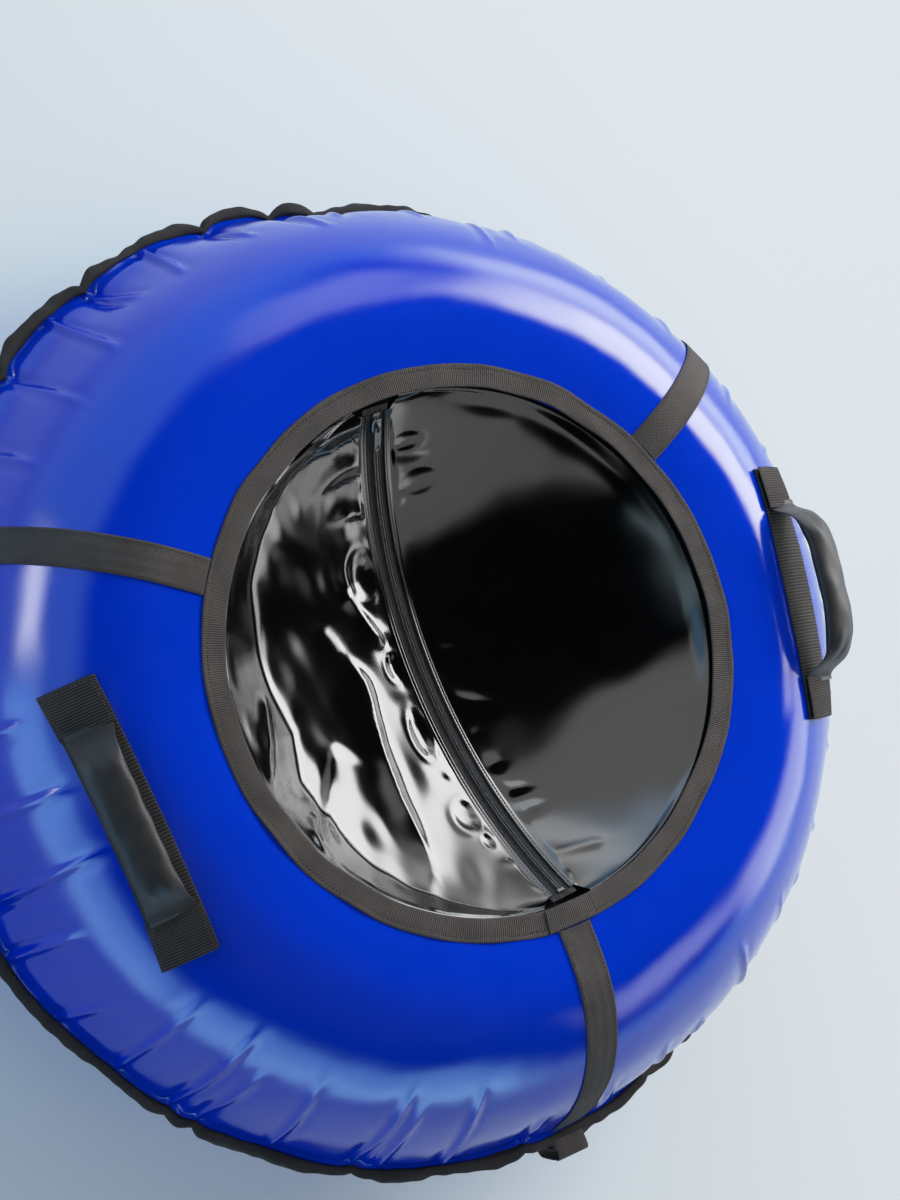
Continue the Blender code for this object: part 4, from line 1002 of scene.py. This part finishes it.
SEAT_DIMPLES = {
    "left": [(362, 572, 17, 22, 3.2), (394, 666, 8, 12, 2.2), (421, 735, 10, 22, 3.2), (467, 815, 13, 14, 2.4), (488, 842, 6, 7, 1.0)],
    "right": [(418, 481, 20, 11, 1.5), (404, 441, 16, 7, 1.0)],
}


def seat_relief(base, side):
    """Height of the folds and dimples over the smooth seat, at every point of its grid."""
    u, v = in_photo(base)
    x, y = base[..., 0], base[..., 1]

    def plan(place):
        k = np.argmin((u - place[0]) ** 2 + (v - place[1]) ** 2)
        return x.flat[k], y.flat[k]

    total = np.zeros_like(x)
    for points, left, right, height, ends in SEAT_FOLDS[side]:
        p = curve_through([plan(q) for q in points], 14 * len(points))
        best, where, signed = np.full(x.shape, 1e9), np.zeros(x.shape), np.zeros(x.shape)
        for k in range(len(p) - 1):
            a, d = p[k], p[k + 1] - p[k]
            length = np.hypot(*d)
            t = np.clip(((x - a[0]) * d[0] + (y - a[1]) * d[1]) / length**2, 0, 1)
            ex, ey = x - a[0] - t * d[0], y - a[1] - t * d[1]
            dist = np.hypot(ex, ey)
            closer = dist < best
            best = np.where(closer, dist, best)
            where = np.where(closer, (k + t) / (len(p) - 1), where)
            signed = np.where(closer, d[0] * ey - d[1] * ex, signed)
        taper = (1 - smooth(where, 0.45, 1.0)) if ends == "zip" else smooth(where, 0.0, 0.16) * (1 - smooth(where, 0.74, 1.0))
        taper = 0.12 + 0.88 * taper
        w = np.where(signed > 0, right, left) * 0.001 * (0.75 + 0.5 * taper)
        total += 0.001 * height * taper * np.exp(-((best / w) ** 1.7))
    for cu, cv, wide, high, depth in SEAT_DIMPLES[side]:
        cx, cy = plan((cu, cv))
        q = np.hypot((x - cx) / wide, (y - cy) / high) / 0.00105
        total -= 0.001 * depth * (np.exp(-(q**2.6)) - 0.30 * np.exp(-(((q - 1.25) / 0.32) ** 2)))
    return total


for side, sign in (("left", -1), ("right", 1)):
    fan = radians(84) * np.linspace(1, -1, 240)
    us = np.concatenate([np.linspace(0, 1, 112)])
    F, Us = np.meshgrid(fan, us, indexing="ij")
    base = seat_base(sign, F, Us)
    # Outward normal of the smooth seat.
    dF, dU = np.gradient(base, axis=0), np.gradient(base, axis=1)
    N = unit(np.cross(dF, dU))
    N *= np.sign(N[..., 2:3])
    x, y = base[..., 0], base[..., 1]
    edge = smooth(Us, 0.0, 0.05) * (1 - smooth(Us, 0.93, 1.0)) * smooth(np.abs(fan[:, None]) * 0 + np.cos(F), 0.10, 0.30)
    lift = seat_relief(base, side)
    plane = np.stack([x, y, 0 * x], -1)
    if side == "left":
        lift = lift + 0.0008 * field(plane, 0.120, 61) + 0.00025 * field(plane * [1.6, 0.8, 1], 0.050, 62)
    else:
        lift = lift + 0.0011 * field(plane, 0.150, 63) + 0.00012 * field(plane, 0.060, 64)
    # The cloth puckers along the zip's stitches.
    along = np.sin(F) * 0.27
    rng = np.random.RandomState(65 if side == "left" else 66)
    for at in np.arange(-0.25, 0.26, 0.034):
        at = at + rng.uniform(-0.01, 0.01)
        wide, long = rng.uniform(0.005, 0.009), rng.uniform(0.08, 0.20)
        deep = rng.uniform(0.4, 1.0) * (0.0014 if side == "left" else 0.0007)
        lift += deep * np.exp(-(((along - at - 0.03 * Us) / wide) ** 2)) * (1 - smooth(Us, 0.02, long))
    P = base + N * (lift * edge)[..., None]
    # The edge along the zip is turned under; the outer edge runs on under the seat ring.
    angle = (ZIP_HALF - 0.016) * np.sin(fan) / sin(radians(84))
    hem = []
    for across, up in ((0.0135, 0.0009), (0.0118, 0.0010), (0.0112, 0.0017), (0.0117, 0.0025), (0.0128, 0.0028), (0.0140, 0.0025), (0.0149, 0.0019), (0.0158, 0.0024), (0.0168, 0.0023)):
        hem.append(zip_at(angle, sign * (across + 0 * angle), up + 0 * angle))
    hem = np.stack(hem, 1)
    azimuth = ring_azimuth(sign, fan)
    lap = np.stack([np.stack([q * np.cos(azimuth), q * np.sin(azimuth), 0 * fan + LAP_Z], -1) for q in (0.2785, 0.287, 0.296)], 1)
    full = np.concatenate([hem, P, lap], 1)
    step = np.linalg.norm(np.diff(full, axis=1), axis=-1)
    V = np.concatenate([np.zeros((len(fan), 1)), np.cumsum(step, 1)], 1)
    UV = np.stack([np.broadcast_to(full[..., 1], V.shape), V], -1)
    panel = grid_piece("seat_panel_%s_cloth" % side, full, UV, gloss_mat, flip=sign < 0)
    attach(panel, "root")
    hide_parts("seat_panel_" + side)
    at = np.arange(-ZIP_HALF * 0.955, ZIP_HALF * 0.955, 0.0040 / ZIP_R)
    P = zip_at(at, sign * (0.0149 + 0 * at), 0.0019 + 0 * at)
    thread = stitches("seat_thread_" + side, P, unit(ZIP_CENTRE + ACROSS * sign * 0.0149 - P), thread_mat, length=0.0028, width=0.0010, rise=0.0009)
    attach(thread, "root")


# ---------------------------------------------------------------- handles
def lay(sign, lift):
    """Webbing laid on the cover along the handle's straight line."""

    def place(L, W):
        x, y = handle_plan(sign, L, W)
        P, N = top.over(x, y)
        return P + N * lift, N

    return place


def handle_plan(sign, station, across=0.0):
    """A place in plan: this far to the rear of the handle's middle, and this far beside its line."""
    s, c = sign * sin(HANDLE_TURN), cos(HANDLE_TURN)
    station = np.asarray(station, float)
    return sign * HANDLE_X + station * s + across * c, HANDLE_Y + station * c - across * s


def smooth_over(sign, station, lift):
    x, y = handle_plan(sign, station)
    r = np.hypot(x, y)
    z = cover_height(r)
    slope = (cover_height(r + 0.0005) - cover_height(r - 0.0005)) / 0.001
    N = unit(np.stack([-slope * x / r, -slope * y / r, 0 * x + 1], -1))
    return np.stack([x, y, z], -1) + N * lift, N


LOOP_LIFT = 0.0012 + 2 * WEBBING + 0.0003
for side, sign in (("left", -1), ("right", 1)):
    patch_front, patch_rear = HANDLE_FRONT + PATCH, HANDLE_REAR - PATCH
    base = webbing_piece("handle_%s_base_webbing" % side, lay(sign, 0.0010), np.linspace(HANDLE_FRONT, HANDLE_REAR, 120), HANDLE_WIDTH, WEBBING, handle_mat, points=13, stitch_rows=(-0.0205, 0.0205), groove=0.0004)
    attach(base, "root")
    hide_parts("handle_%s_base" % side)
    for end, a, b in (("front", HANDLE_FRONT, patch_front), ("rear", patch_rear, HANDLE_REAR)):
        under = webbing_piece("handle_%s_end_%s_webbing" % (side, end), lay(sign, 0.0010 + WEBBING + 0.0010), np.linspace(a + 0.002, b - 0.002, 20), 0.042, WEBBING, patch_mat)
        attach(under, "root")
        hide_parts("handle_%s_end_%s" % (side, end))
        lift = 0.0010 + 2 * WEBBING + 0.0020
        patch = webbing_piece("handle_%s_patch_%s_webbing" % (side, end), lay(sign, lift), np.linspace(a, b, 44), HANDLE_WIDTH * 0.98, WEBBING + 0.0002, patch_mat, points=17, arch=0.25)
        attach(patch, "root")
        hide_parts("handle_%s_patch_%s" % (side, end))
        inset_, P_all, N_all, A_all = 0.0035, [], [], []
        corners = [(-0.0215, a + inset_), (0.0215, a + inset_), (0.0215, b - inset_), (-0.0215, b - inset_)]
        for (w0, y0), (w1, y1) in zip(corners, corners[1:] + corners[:1]):
            count = int(round(hypot(w1 - w0, y1 - y0) / 0.0038))
            t = (np.arange(count) + 0.5) / count
            P, N = lay(sign, lift + WEBBING - 0.0001)(y0 + (y1 - y0) * t, w0 + (w1 - w0) * t)
            P_all.append(P)
            N_all.append(N)
            x_, y_ = handle_plan(sign, np.array([y0, y1]), np.array([w0, w1]))
            A_all.append(np.tile([x_[1] - x_[0], y_[1] - y_[0], 0.0], (count, 1)))
        thread = stitches("handle_%s_patch_%s_thread" % (side, end), np.vstack(P_all), np.vstack(N_all), thread_mat, length=0.0028, along=np.vstack(A_all))
        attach(thread, "root")

    # The loop's own line, as in the CAD, run on flat under both patches.
    root_front, _ = smooth_over(sign, patch_front, LOOP_LIFT)
    root_rear, _ = smooth_over(sign, patch_rear, LOOP_LIFT)
    chord = root_rear - root_front
    direction = unit(chord)
    _, outward = smooth_over(sign, 0.0, 0.0)
    outward = unit(outward - direction * (outward @ direction))
    outward = outward * cos(LOOP_LEAN) + np.cross(direction, outward) * sin(-sign * LOOP_LEAN)
    across = np.cross(direction, outward)
    shares = np.linspace(-0.045, 1.045, 120)
    inside = np.clip(shares, 0.0, 1.0)
    rise = LOOP_RISE * (1 - np.abs(2 * inside - 1) ** 4) ** 0.6
    ends = np.minimum(inside, 1 - inside)
    rise = rise * smooth(ends, 0.0, 0.05) ** 0.5 + 0.0004
    centre = root_front + np.outer(shares, chord) + np.outer(rise, outward)
    centre = np.stack([np.convolve(np.pad(centre[:, k], 3, mode="edge"), np.ones(7) / 7, "valid") for k in range(3)], 1)
    centre[[0, -1]] = root_front + np.outer(shares[[0, -1]], chord) + outward * 0.0004
    ahead = unit(np.gradient(centre, axis=0))
    upward = unit(np.cross(ahead, across) * -1)
    upward *= np.sign((upward @ outward))[:, None]
    fill = smooth(ends, 0.03, 0.22)
    flat_end = 1 - smooth(ends, 0.0, 0.10)
    half_w = 0.0218 + 0.0026 * flat_end - 0.0010 * fill
    half_h = 0.0016 + 0.0086 * fill
    power = 1.0 - 0.0 * fill
    count = 56
    rows = []
    for k in range(len(shares)):
        a = np.linspace(0, TAU, count, endpoint=False)
        c, s = np.cos(a), np.sin(a)
        bulge = 0.85 + 0.15 * fill[k]
        w = half_w[k] * np.sign(c) * np.abs(c) ** bulge
        h = half_h[k] * np.sign(s) * np.abs(s) ** bulge
        rows.append(centre[k] + np.outer(w, across) + np.outer(h, upward[k]))
    P = np.stack(rows)
    # Puckers where the padding ends, and slack along the grip.
    mid = centre[:, None, :]
    away = unit(P - mid)
    a = np.linspace(0, TAU, count, endpoint=False)[None, :]
    e = ends[:, None]
    pucker = np.exp(-(((e - 0.13) / 0.07) ** 2))
    wrinkle = 0.0011 * pucker * np.cos(7 * a + 3 * sign + 9 * e) * (0.6 + 0.4 * np.cos(3 * a + 1.3))
    wrinkle += 0.0004 * field(P, 0.030, 71 + sign) * smooth(e, 0.03, 0.15)
    P = P + away * wrinkle[..., None]
    # The sleeve's cloth, mapped along the grip and round it.
    U, V = np.meshgrid(shares * np.linalg.norm(chord), np.linspace(0, 0.105, count + 1), indexing="ij")
    sleeve = grid_piece("handle_%s_sleeve_cloth" % side, P, np.stack([U, V], -1), sleeve_mat, wrap_cols=True, caps=True, flip=sign < 0, sharp=60)
    for n_ in ("handle_%s_sleeve", "handle_%s_foam", "handle_%s_webbing"):
        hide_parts(n_ % side)
    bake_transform(sleeve)

# ---------------------------------------------------------------- tow loop
pin = np.array([0.0, -(0.550 + 0.0065 + 0.0008), SEAM])
line2 = [(0.0165, 0.0035), (0.0100, 0.0040), (0.0040, 0.0052), (0.0, 0.0056), (-0.0036, 0.0042), (-0.0056, 0.0), (-0.0058, -0.008), (-0.0062, -0.020), (-0.0060, -0.034), (-0.0054, -0.040), (-0.0038, -0.0440), (0.0, -0.0457), (0.0038, -0.0440), (0.0054, -0.040), (0.0058, -0.030), (0.0052, -0.016), (0.0050, -0.006), (0.0062, -0.0015), (0.0100, 0.0), (0.0165, -0.0005)]
path = curve_through(line2, 90)
tangent = unit(np.gradient(path, axis=0))
side_n = np.stack([tangent[:, 1], -tangent[:, 0]], -1)
rows = []
loop = np.array([(-0.0188, 0.0), (-0.0190, 0.0005), (-0.0186, 0.0009), (-0.010, 0.00095), (0.0, 0.00095), (0.010, 0.00095), (0.0186, 0.0009), (0.0190, 0.0005), (0.0188, 0.0), (0.0186, -0.0007), (0.010, -0.00075), (0.0, -0.00075), (-0.010, -0.00075), (-0.0186, -0.0007)])
for p, m in zip(path, side_n):
    rows.append([pin + np.array([w, p[0] + m[0] * h, p[1] + m[1] * h]) for w, h in loop])
P = np.array(rows)
long = np.concatenate([[0], np.cumsum(np.linalg.norm(np.diff(path, axis=0), axis=1))])
U, V = np.meshgrid(long, np.concatenate([loop[:, 0], [loop[0, 0]]]), indexing="ij")
tow = grid_piece("tow_loop_webbing", P, np.stack([U, V], -1), webbing_mat, wrap_cols=True, caps=True, sharp=60)
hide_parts("tow_loop")
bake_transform(tow)

# ---------------------------------------------------------------- floor and light
floor_mat = shader("floor_pale", (0.60, 0.67, 0.71), 0.85, specular=0.2)
n = Nodes(floor_mat)
cloud = n.noise(n.place(), 0.6, 3.0)
n.finish(n.ramp(cloud, [(0.3, (0.59, 0.66, 0.70)), (0.7, (0.62, 0.69, 0.73))]))
# Painted glow: far from the tube the floor emits a little light, rising up to the pale horizon.
place = floor_mat.node_tree.nodes.new("ShaderNodeTexCoord")
away = floor_mat.node_tree.nodes.new("ShaderNodeVectorMath")
away.operation = "LENGTH"
far = floor_mat.node_tree.nodes.new("ShaderNodeMapRange")
far.interpolation_type = "SMOOTHSTEP"
far.inputs["From Min"].default_value, far.inputs["From Max"].default_value = 1.6, 5.5
far.inputs["To Max"].default_value = 0.9
floor_mat.node_tree.links.new(place.outputs["Object"], away.inputs[0])
floor_mat.node_tree.links.new(away.outputs["Value"], far.inputs["Value"])
floor_shader = next(q for q in floor_mat.node_tree.nodes if q.type == "BSDF_PRINCIPLED")
floor_mat.node_tree.links.new(far.outputs["Result"], floor_shader.inputs["Emission Strength"])
floor_shader.inputs["Emission Color"].default_value = (0.59, 0.88, 1.14, 1)
# Painted shade: under the low key lamp the floor's colour is darkened, so that the lamp doesn't bleach it.
lamp_foot = floor_mat.node_tree.nodes.new("ShaderNodeVectorMath")
lamp_foot.operation = "DISTANCE"
lamp_foot.inputs[1].default_value = (3.2, 0.9, 0.0)
floor_mat.node_tree.links.new(place.outputs["Object"], lamp_foot.inputs[0])
shade = floor_mat.node_tree.nodes.new("ShaderNodeMapRange")
shade.interpolation_type = "SMOOTHSTEP"
shade.inputs["From Min"].default_value, shade.inputs["From Max"].default_value = 0.6, 3.3
shade.inputs["To Min"].default_value, shade.inputs["To Max"].default_value = 0.34, 1.0
floor_mat.node_tree.links.new(lamp_foot.outputs["Value"], shade.inputs["Value"])
painted_shade_base = floor_mat.node_tree.nodes.new("ShaderNodeVectorMath")
painted_shade_base.operation = "SCALE"
base_link = floor_shader.inputs["Base Color"].links[0]
floor_mat.node_tree.links.new(base_link.from_socket, painted_shade_base.inputs[0])
floor_mat.node_tree.links.new(shade.outputs["Result"], painted_shade_base.inputs["Scale"])
floor_mat.node_tree.links.new(painted_shade_base.outputs["Vector"], floor_shader.inputs["Base Color"])
# The painted glow is dimmed by the same painted shade under the lamp.
painted_glow = floor_mat.node_tree.nodes.new("ShaderNodeMath")
painted_glow.operation = "MULTIPLY"
floor_mat.node_tree.links.new(far.outputs["Result"], painted_glow.inputs[0])
floor_mat.node_tree.links.new(shade.outputs["Result"], painted_glow.inputs[1])
floor_mat.node_tree.links.new(painted_glow.outputs["Value"], floor_shader.inputs["Emission Strength"])
around = [TAU * k / 96 for k in range(96)]
floor = mesh_piece("floor", [(30 * cos(a), 30 * sin(a), 0) for a in around], [list(range(96))], None, floor_mat)

# The studio: black overhead, a pale horizon all round, and a dim blue-white wall at the left rear.
world = bpy.data.worlds.new("studio")
scene.world = world
world.use_nodes = True
tree = world.node_tree
background = tree.nodes["Background"]
coord = tree.nodes.new("ShaderNodeTexCoord")
split = tree.nodes.new("ShaderNodeSeparateXYZ")
tree.links.new(coord.outputs["Generated"], split.inputs[0])


def world_step(value, low, high):
    step = tree.nodes.new("ShaderNodeMapRange")
    step.interpolation_type = "SMOOTHSTEP"
    tree.links.new(value, step.inputs["Value"])
    step.inputs["From Min"].default_value, step.inputs["From Max"].default_value = low, high
    if low > high:
        step.inputs["From Min"].default_value, step.inputs["From Max"].default_value = high, low
        step.inputs["To Min"].default_value, step.inputs["To Max"].default_value = 1.0, 0.0
    return step.outputs["Result"]


def world_math(op, a, b, c=None):
    node = tree.nodes.new("ShaderNodeMath")
    node.operation = op
    for i, v in enumerate((a, b, c)):
        if hasattr(v, "is_output"):
            tree.links.new(v, node.inputs[i])
        elif v is not None:
            node.inputs[i].default_value = v
    return node.outputs[0]


def world_mix(weight, a, b):
    node = tree.nodes.new("ShaderNodeMix")
    node.data_type = "RGBA"
    tree.links.new(weight, node.inputs["Factor"])
    for socket, v in ((node.inputs[6], a), (node.inputs[7], b)):
        if hasattr(v, "is_output"):
            tree.links.new(v, socket)
        else:
            socket.default_value = (*v, 1)
    return node.outputs[2]


X, Y, Z = split.outputs
rear_left = world_math("ADD", world_math("MULTIPLY", X, -0.64), world_math("MULTIPLY", Y, 0.77))
wall = world_math("MULTIPLY", world_step(rear_left, 0.34, 0.66), world_step(Z, 0.74, 0.60))
colour = world_mix(wall, (0.0030, 0.0031, 0.0033), (0.52, 1.02, 1.60))
colour = world_mix(world_step(Z, 0.17, 0.06), colour, (0.62, 0.98, 1.32))
tree.links.new(colour, background.inputs["Color"])
background.inputs["Strength"].default_value = 1.0


def softbox(name, centre, toward, size, radiance, along=None, colour=(1, 1, 1), soft=None):
    """A flat lamp. The four soft margins (left, right, low, high) fade its edges, as shares of its size."""
    light = bpy.data.lights.new(name, "AREA")
    light.shape = "RECTANGLE"
    light.size, light.size_y = size
    light.energy = radiance * pi * size[0] * size[1]
    light.color = colour
    ob = bpy.data.objects.new(name, light)
    scene.collection.objects.link(ob)
    c, back = Vector(centre), (Vector(centre) - Vector(toward)).normalized()
    x = Vector(along) if along is not None else Vector((0, 0, 1)).cross(back)
    x = (x - back * x.dot(back)).normalized()
    y = back.cross(x)
    ob.matrix_world = Matrix(((x.x, y.x, back.x, c.x), (x.y, y.y, back.y, c.y), (x.z, y.z, back.z, c.z), (0, 0, 0, 1)))
    ob.visible_camera = False
    if soft:
        light.use_nodes = True
        nodes, links = light.node_tree.nodes, light.node_tree.links
        emit = next(q for q in nodes if q.type == "EMISSION")
        where = nodes.new("ShaderNodeNewGeometry")
        parts = nodes.new("ShaderNodeSeparateXYZ")
        links.new(where.outputs["Parametric"], parts.inputs[0])
        value = None
        for socket, near, far in ((parts.outputs[0], soft[0], soft[1]), (parts.outputs[1], soft[2], soft[3])):
            for margin, flip in ((near, False), (far, True)):
                if margin <= 0:
                    continue
                step = nodes.new("ShaderNodeMapRange")
                step.interpolation_type = "SMOOTHSTEP"
                links.new(socket, step.inputs["Value"])
                low, high = (1 - margin, 1.0) if flip else (0.0, margin)
                step.inputs["From Min"].default_value, step.inputs["From Max"].default_value = low, high
                step.inputs["To Min"].default_value, step.inputs["To Max"].default_value = (1.0, 0.0) if flip else (0.0, 1.0)
                if value is None:
                    value = step.outputs["Result"]
                else:
                    both = nodes.new("ShaderNodeMath")
                    both.operation = "MULTIPLY"
                    links.new(value, both.inputs[0])
                    links.new(step.outputs["Result"], both.inputs[1])
                    value = both.outputs[0]
        links.new(value, emit.inputs["Strength"])
    return ob


def placed(azimuth, zenith, distance, high=0.36):
    a, z = radians(azimuth), radians(zenith)
    return (distance * sin(z) * cos(a), distance * sin(z) * sin(a), high + distance * cos(z))


TUBE = (0.0, 0.0, 0.36)
softbox("key_core", placed(22, 64, 3.6), TUBE, (4.2, 1.6), 13.0, soft=(0.05, 0.42, 0.0, 0.0))
key_low = softbox("key_low", placed(28, 86, 3.7), TUBE, (5.4, 1.45), 4.2, soft=(0.05, 0.35, 0.1, 0.25))
softbox("key_side", placed(68, 62, 3.7), TUBE, (3.0, 2.0), 2.2, soft=(0.4, 0.5, 0.3, 0.1))
key_right = softbox("key_right", placed(-26, 78, 3.7), TUBE, (2.6, 1.7), 4.0, soft=(0.3, 0.0, 0.1, 0.1))
key_front = softbox("key_front", placed(-54, 66, 3.7), TUBE, (1.7, 1.3), 2.4, soft=(0.3, 0.2, 0.1, 0.1))
softbox("left_top", placed(190, 40, 3.6), TUBE, (2.2, 1.6), 1.3, colour=(0.66, 0.9, 1.0), soft=(0.3, 0.3, 0.3, 0.3))
left_low_a = softbox("left_low_a", placed(190, 85, 2.7), TUBE, (3.0, 1.0), 3.6, colour=(0.32, 0.68, 1.0))
left_low_b = softbox("left_low_b", placed(250, 85, 2.7), TUBE, (3.0, 1.0), 3.6, colour=(0.32, 0.68, 1.0))
window = softbox("window", placed(148, 82, 2.6), TUBE, (0.8, 0.5), 9.0)
# The low lamps only show in the gloss, so that the floor stays evenly lit by the soft ones above.
for lamp in (key_low, key_right, key_front, left_low_a, left_low_b, window):
    lamp.visible_diffuse = False
fill = softbox("fill", (-0.6, -3.0, 5.6), (0.3, -0.6, 0.0), (6.0, 6.0), 1.15, colour=(1.0, 0.98, 0.95))
back_fill = softbox("back_fill", (1.6, 2.6, 5.6), (0.2, 0.3, 0.0), (6.0, 6.0), 0.45, colour=(1.0, 0.98, 0.95))
for lamp in (fill, back_fill):
    lamp.visible_glossy = False

# Two cards that only the black seat mirrors, as if flagged off from the blue cover.
seat_only = bpy.data.collections.new("mirrors_the_cards")
for name in ("seat_panel_left_cloth", "seat_panel_right_cloth"):
    seat_only.objects.link(bpy.data.objects[name])
front_card = softbox("seat_card_front", (0.44, -2.02, 1.80), (0.44, -2.02, 0.0), (2.1, 2.4), 0.95, along=(1, 0, 0), soft=(0.04, 0.15, 0.1, 0.03))
rear_card = softbox("seat_card_rear", (-0.15, 1.95, 1.80), (-0.15, 1.95, 0.0), (3.0, 2.6), 1.25, along=(0.961, 0.278, 0), soft=(0.1, 0.1, 0.02, 0.1))
for card in (front_card, rear_card):
    card.visible_diffuse = False
    card.light_linking.receiver_collection = seat_only

scene.view_settings.view_transform = "Standard"
scene.view_settings.look = "None"
scene.view_settings.exposure = 0.0
scene.view_settings.gamma = 1.0
# The photo's highlights roll off gently, so that the blue under them doesn't clip.
scene.view_settings.use_curve_mapping = True
roll_off = scene.view_settings.curve_mapping
roll_off.white_level = (1.6, 1.6, 1.6)
for channel in (roll_off.curves[3],):
    for at, value in ((0.34, 0.545), (0.44, 0.675), (0.70, 0.855)):
        channel.points.new(at, value)
roll_off.update()
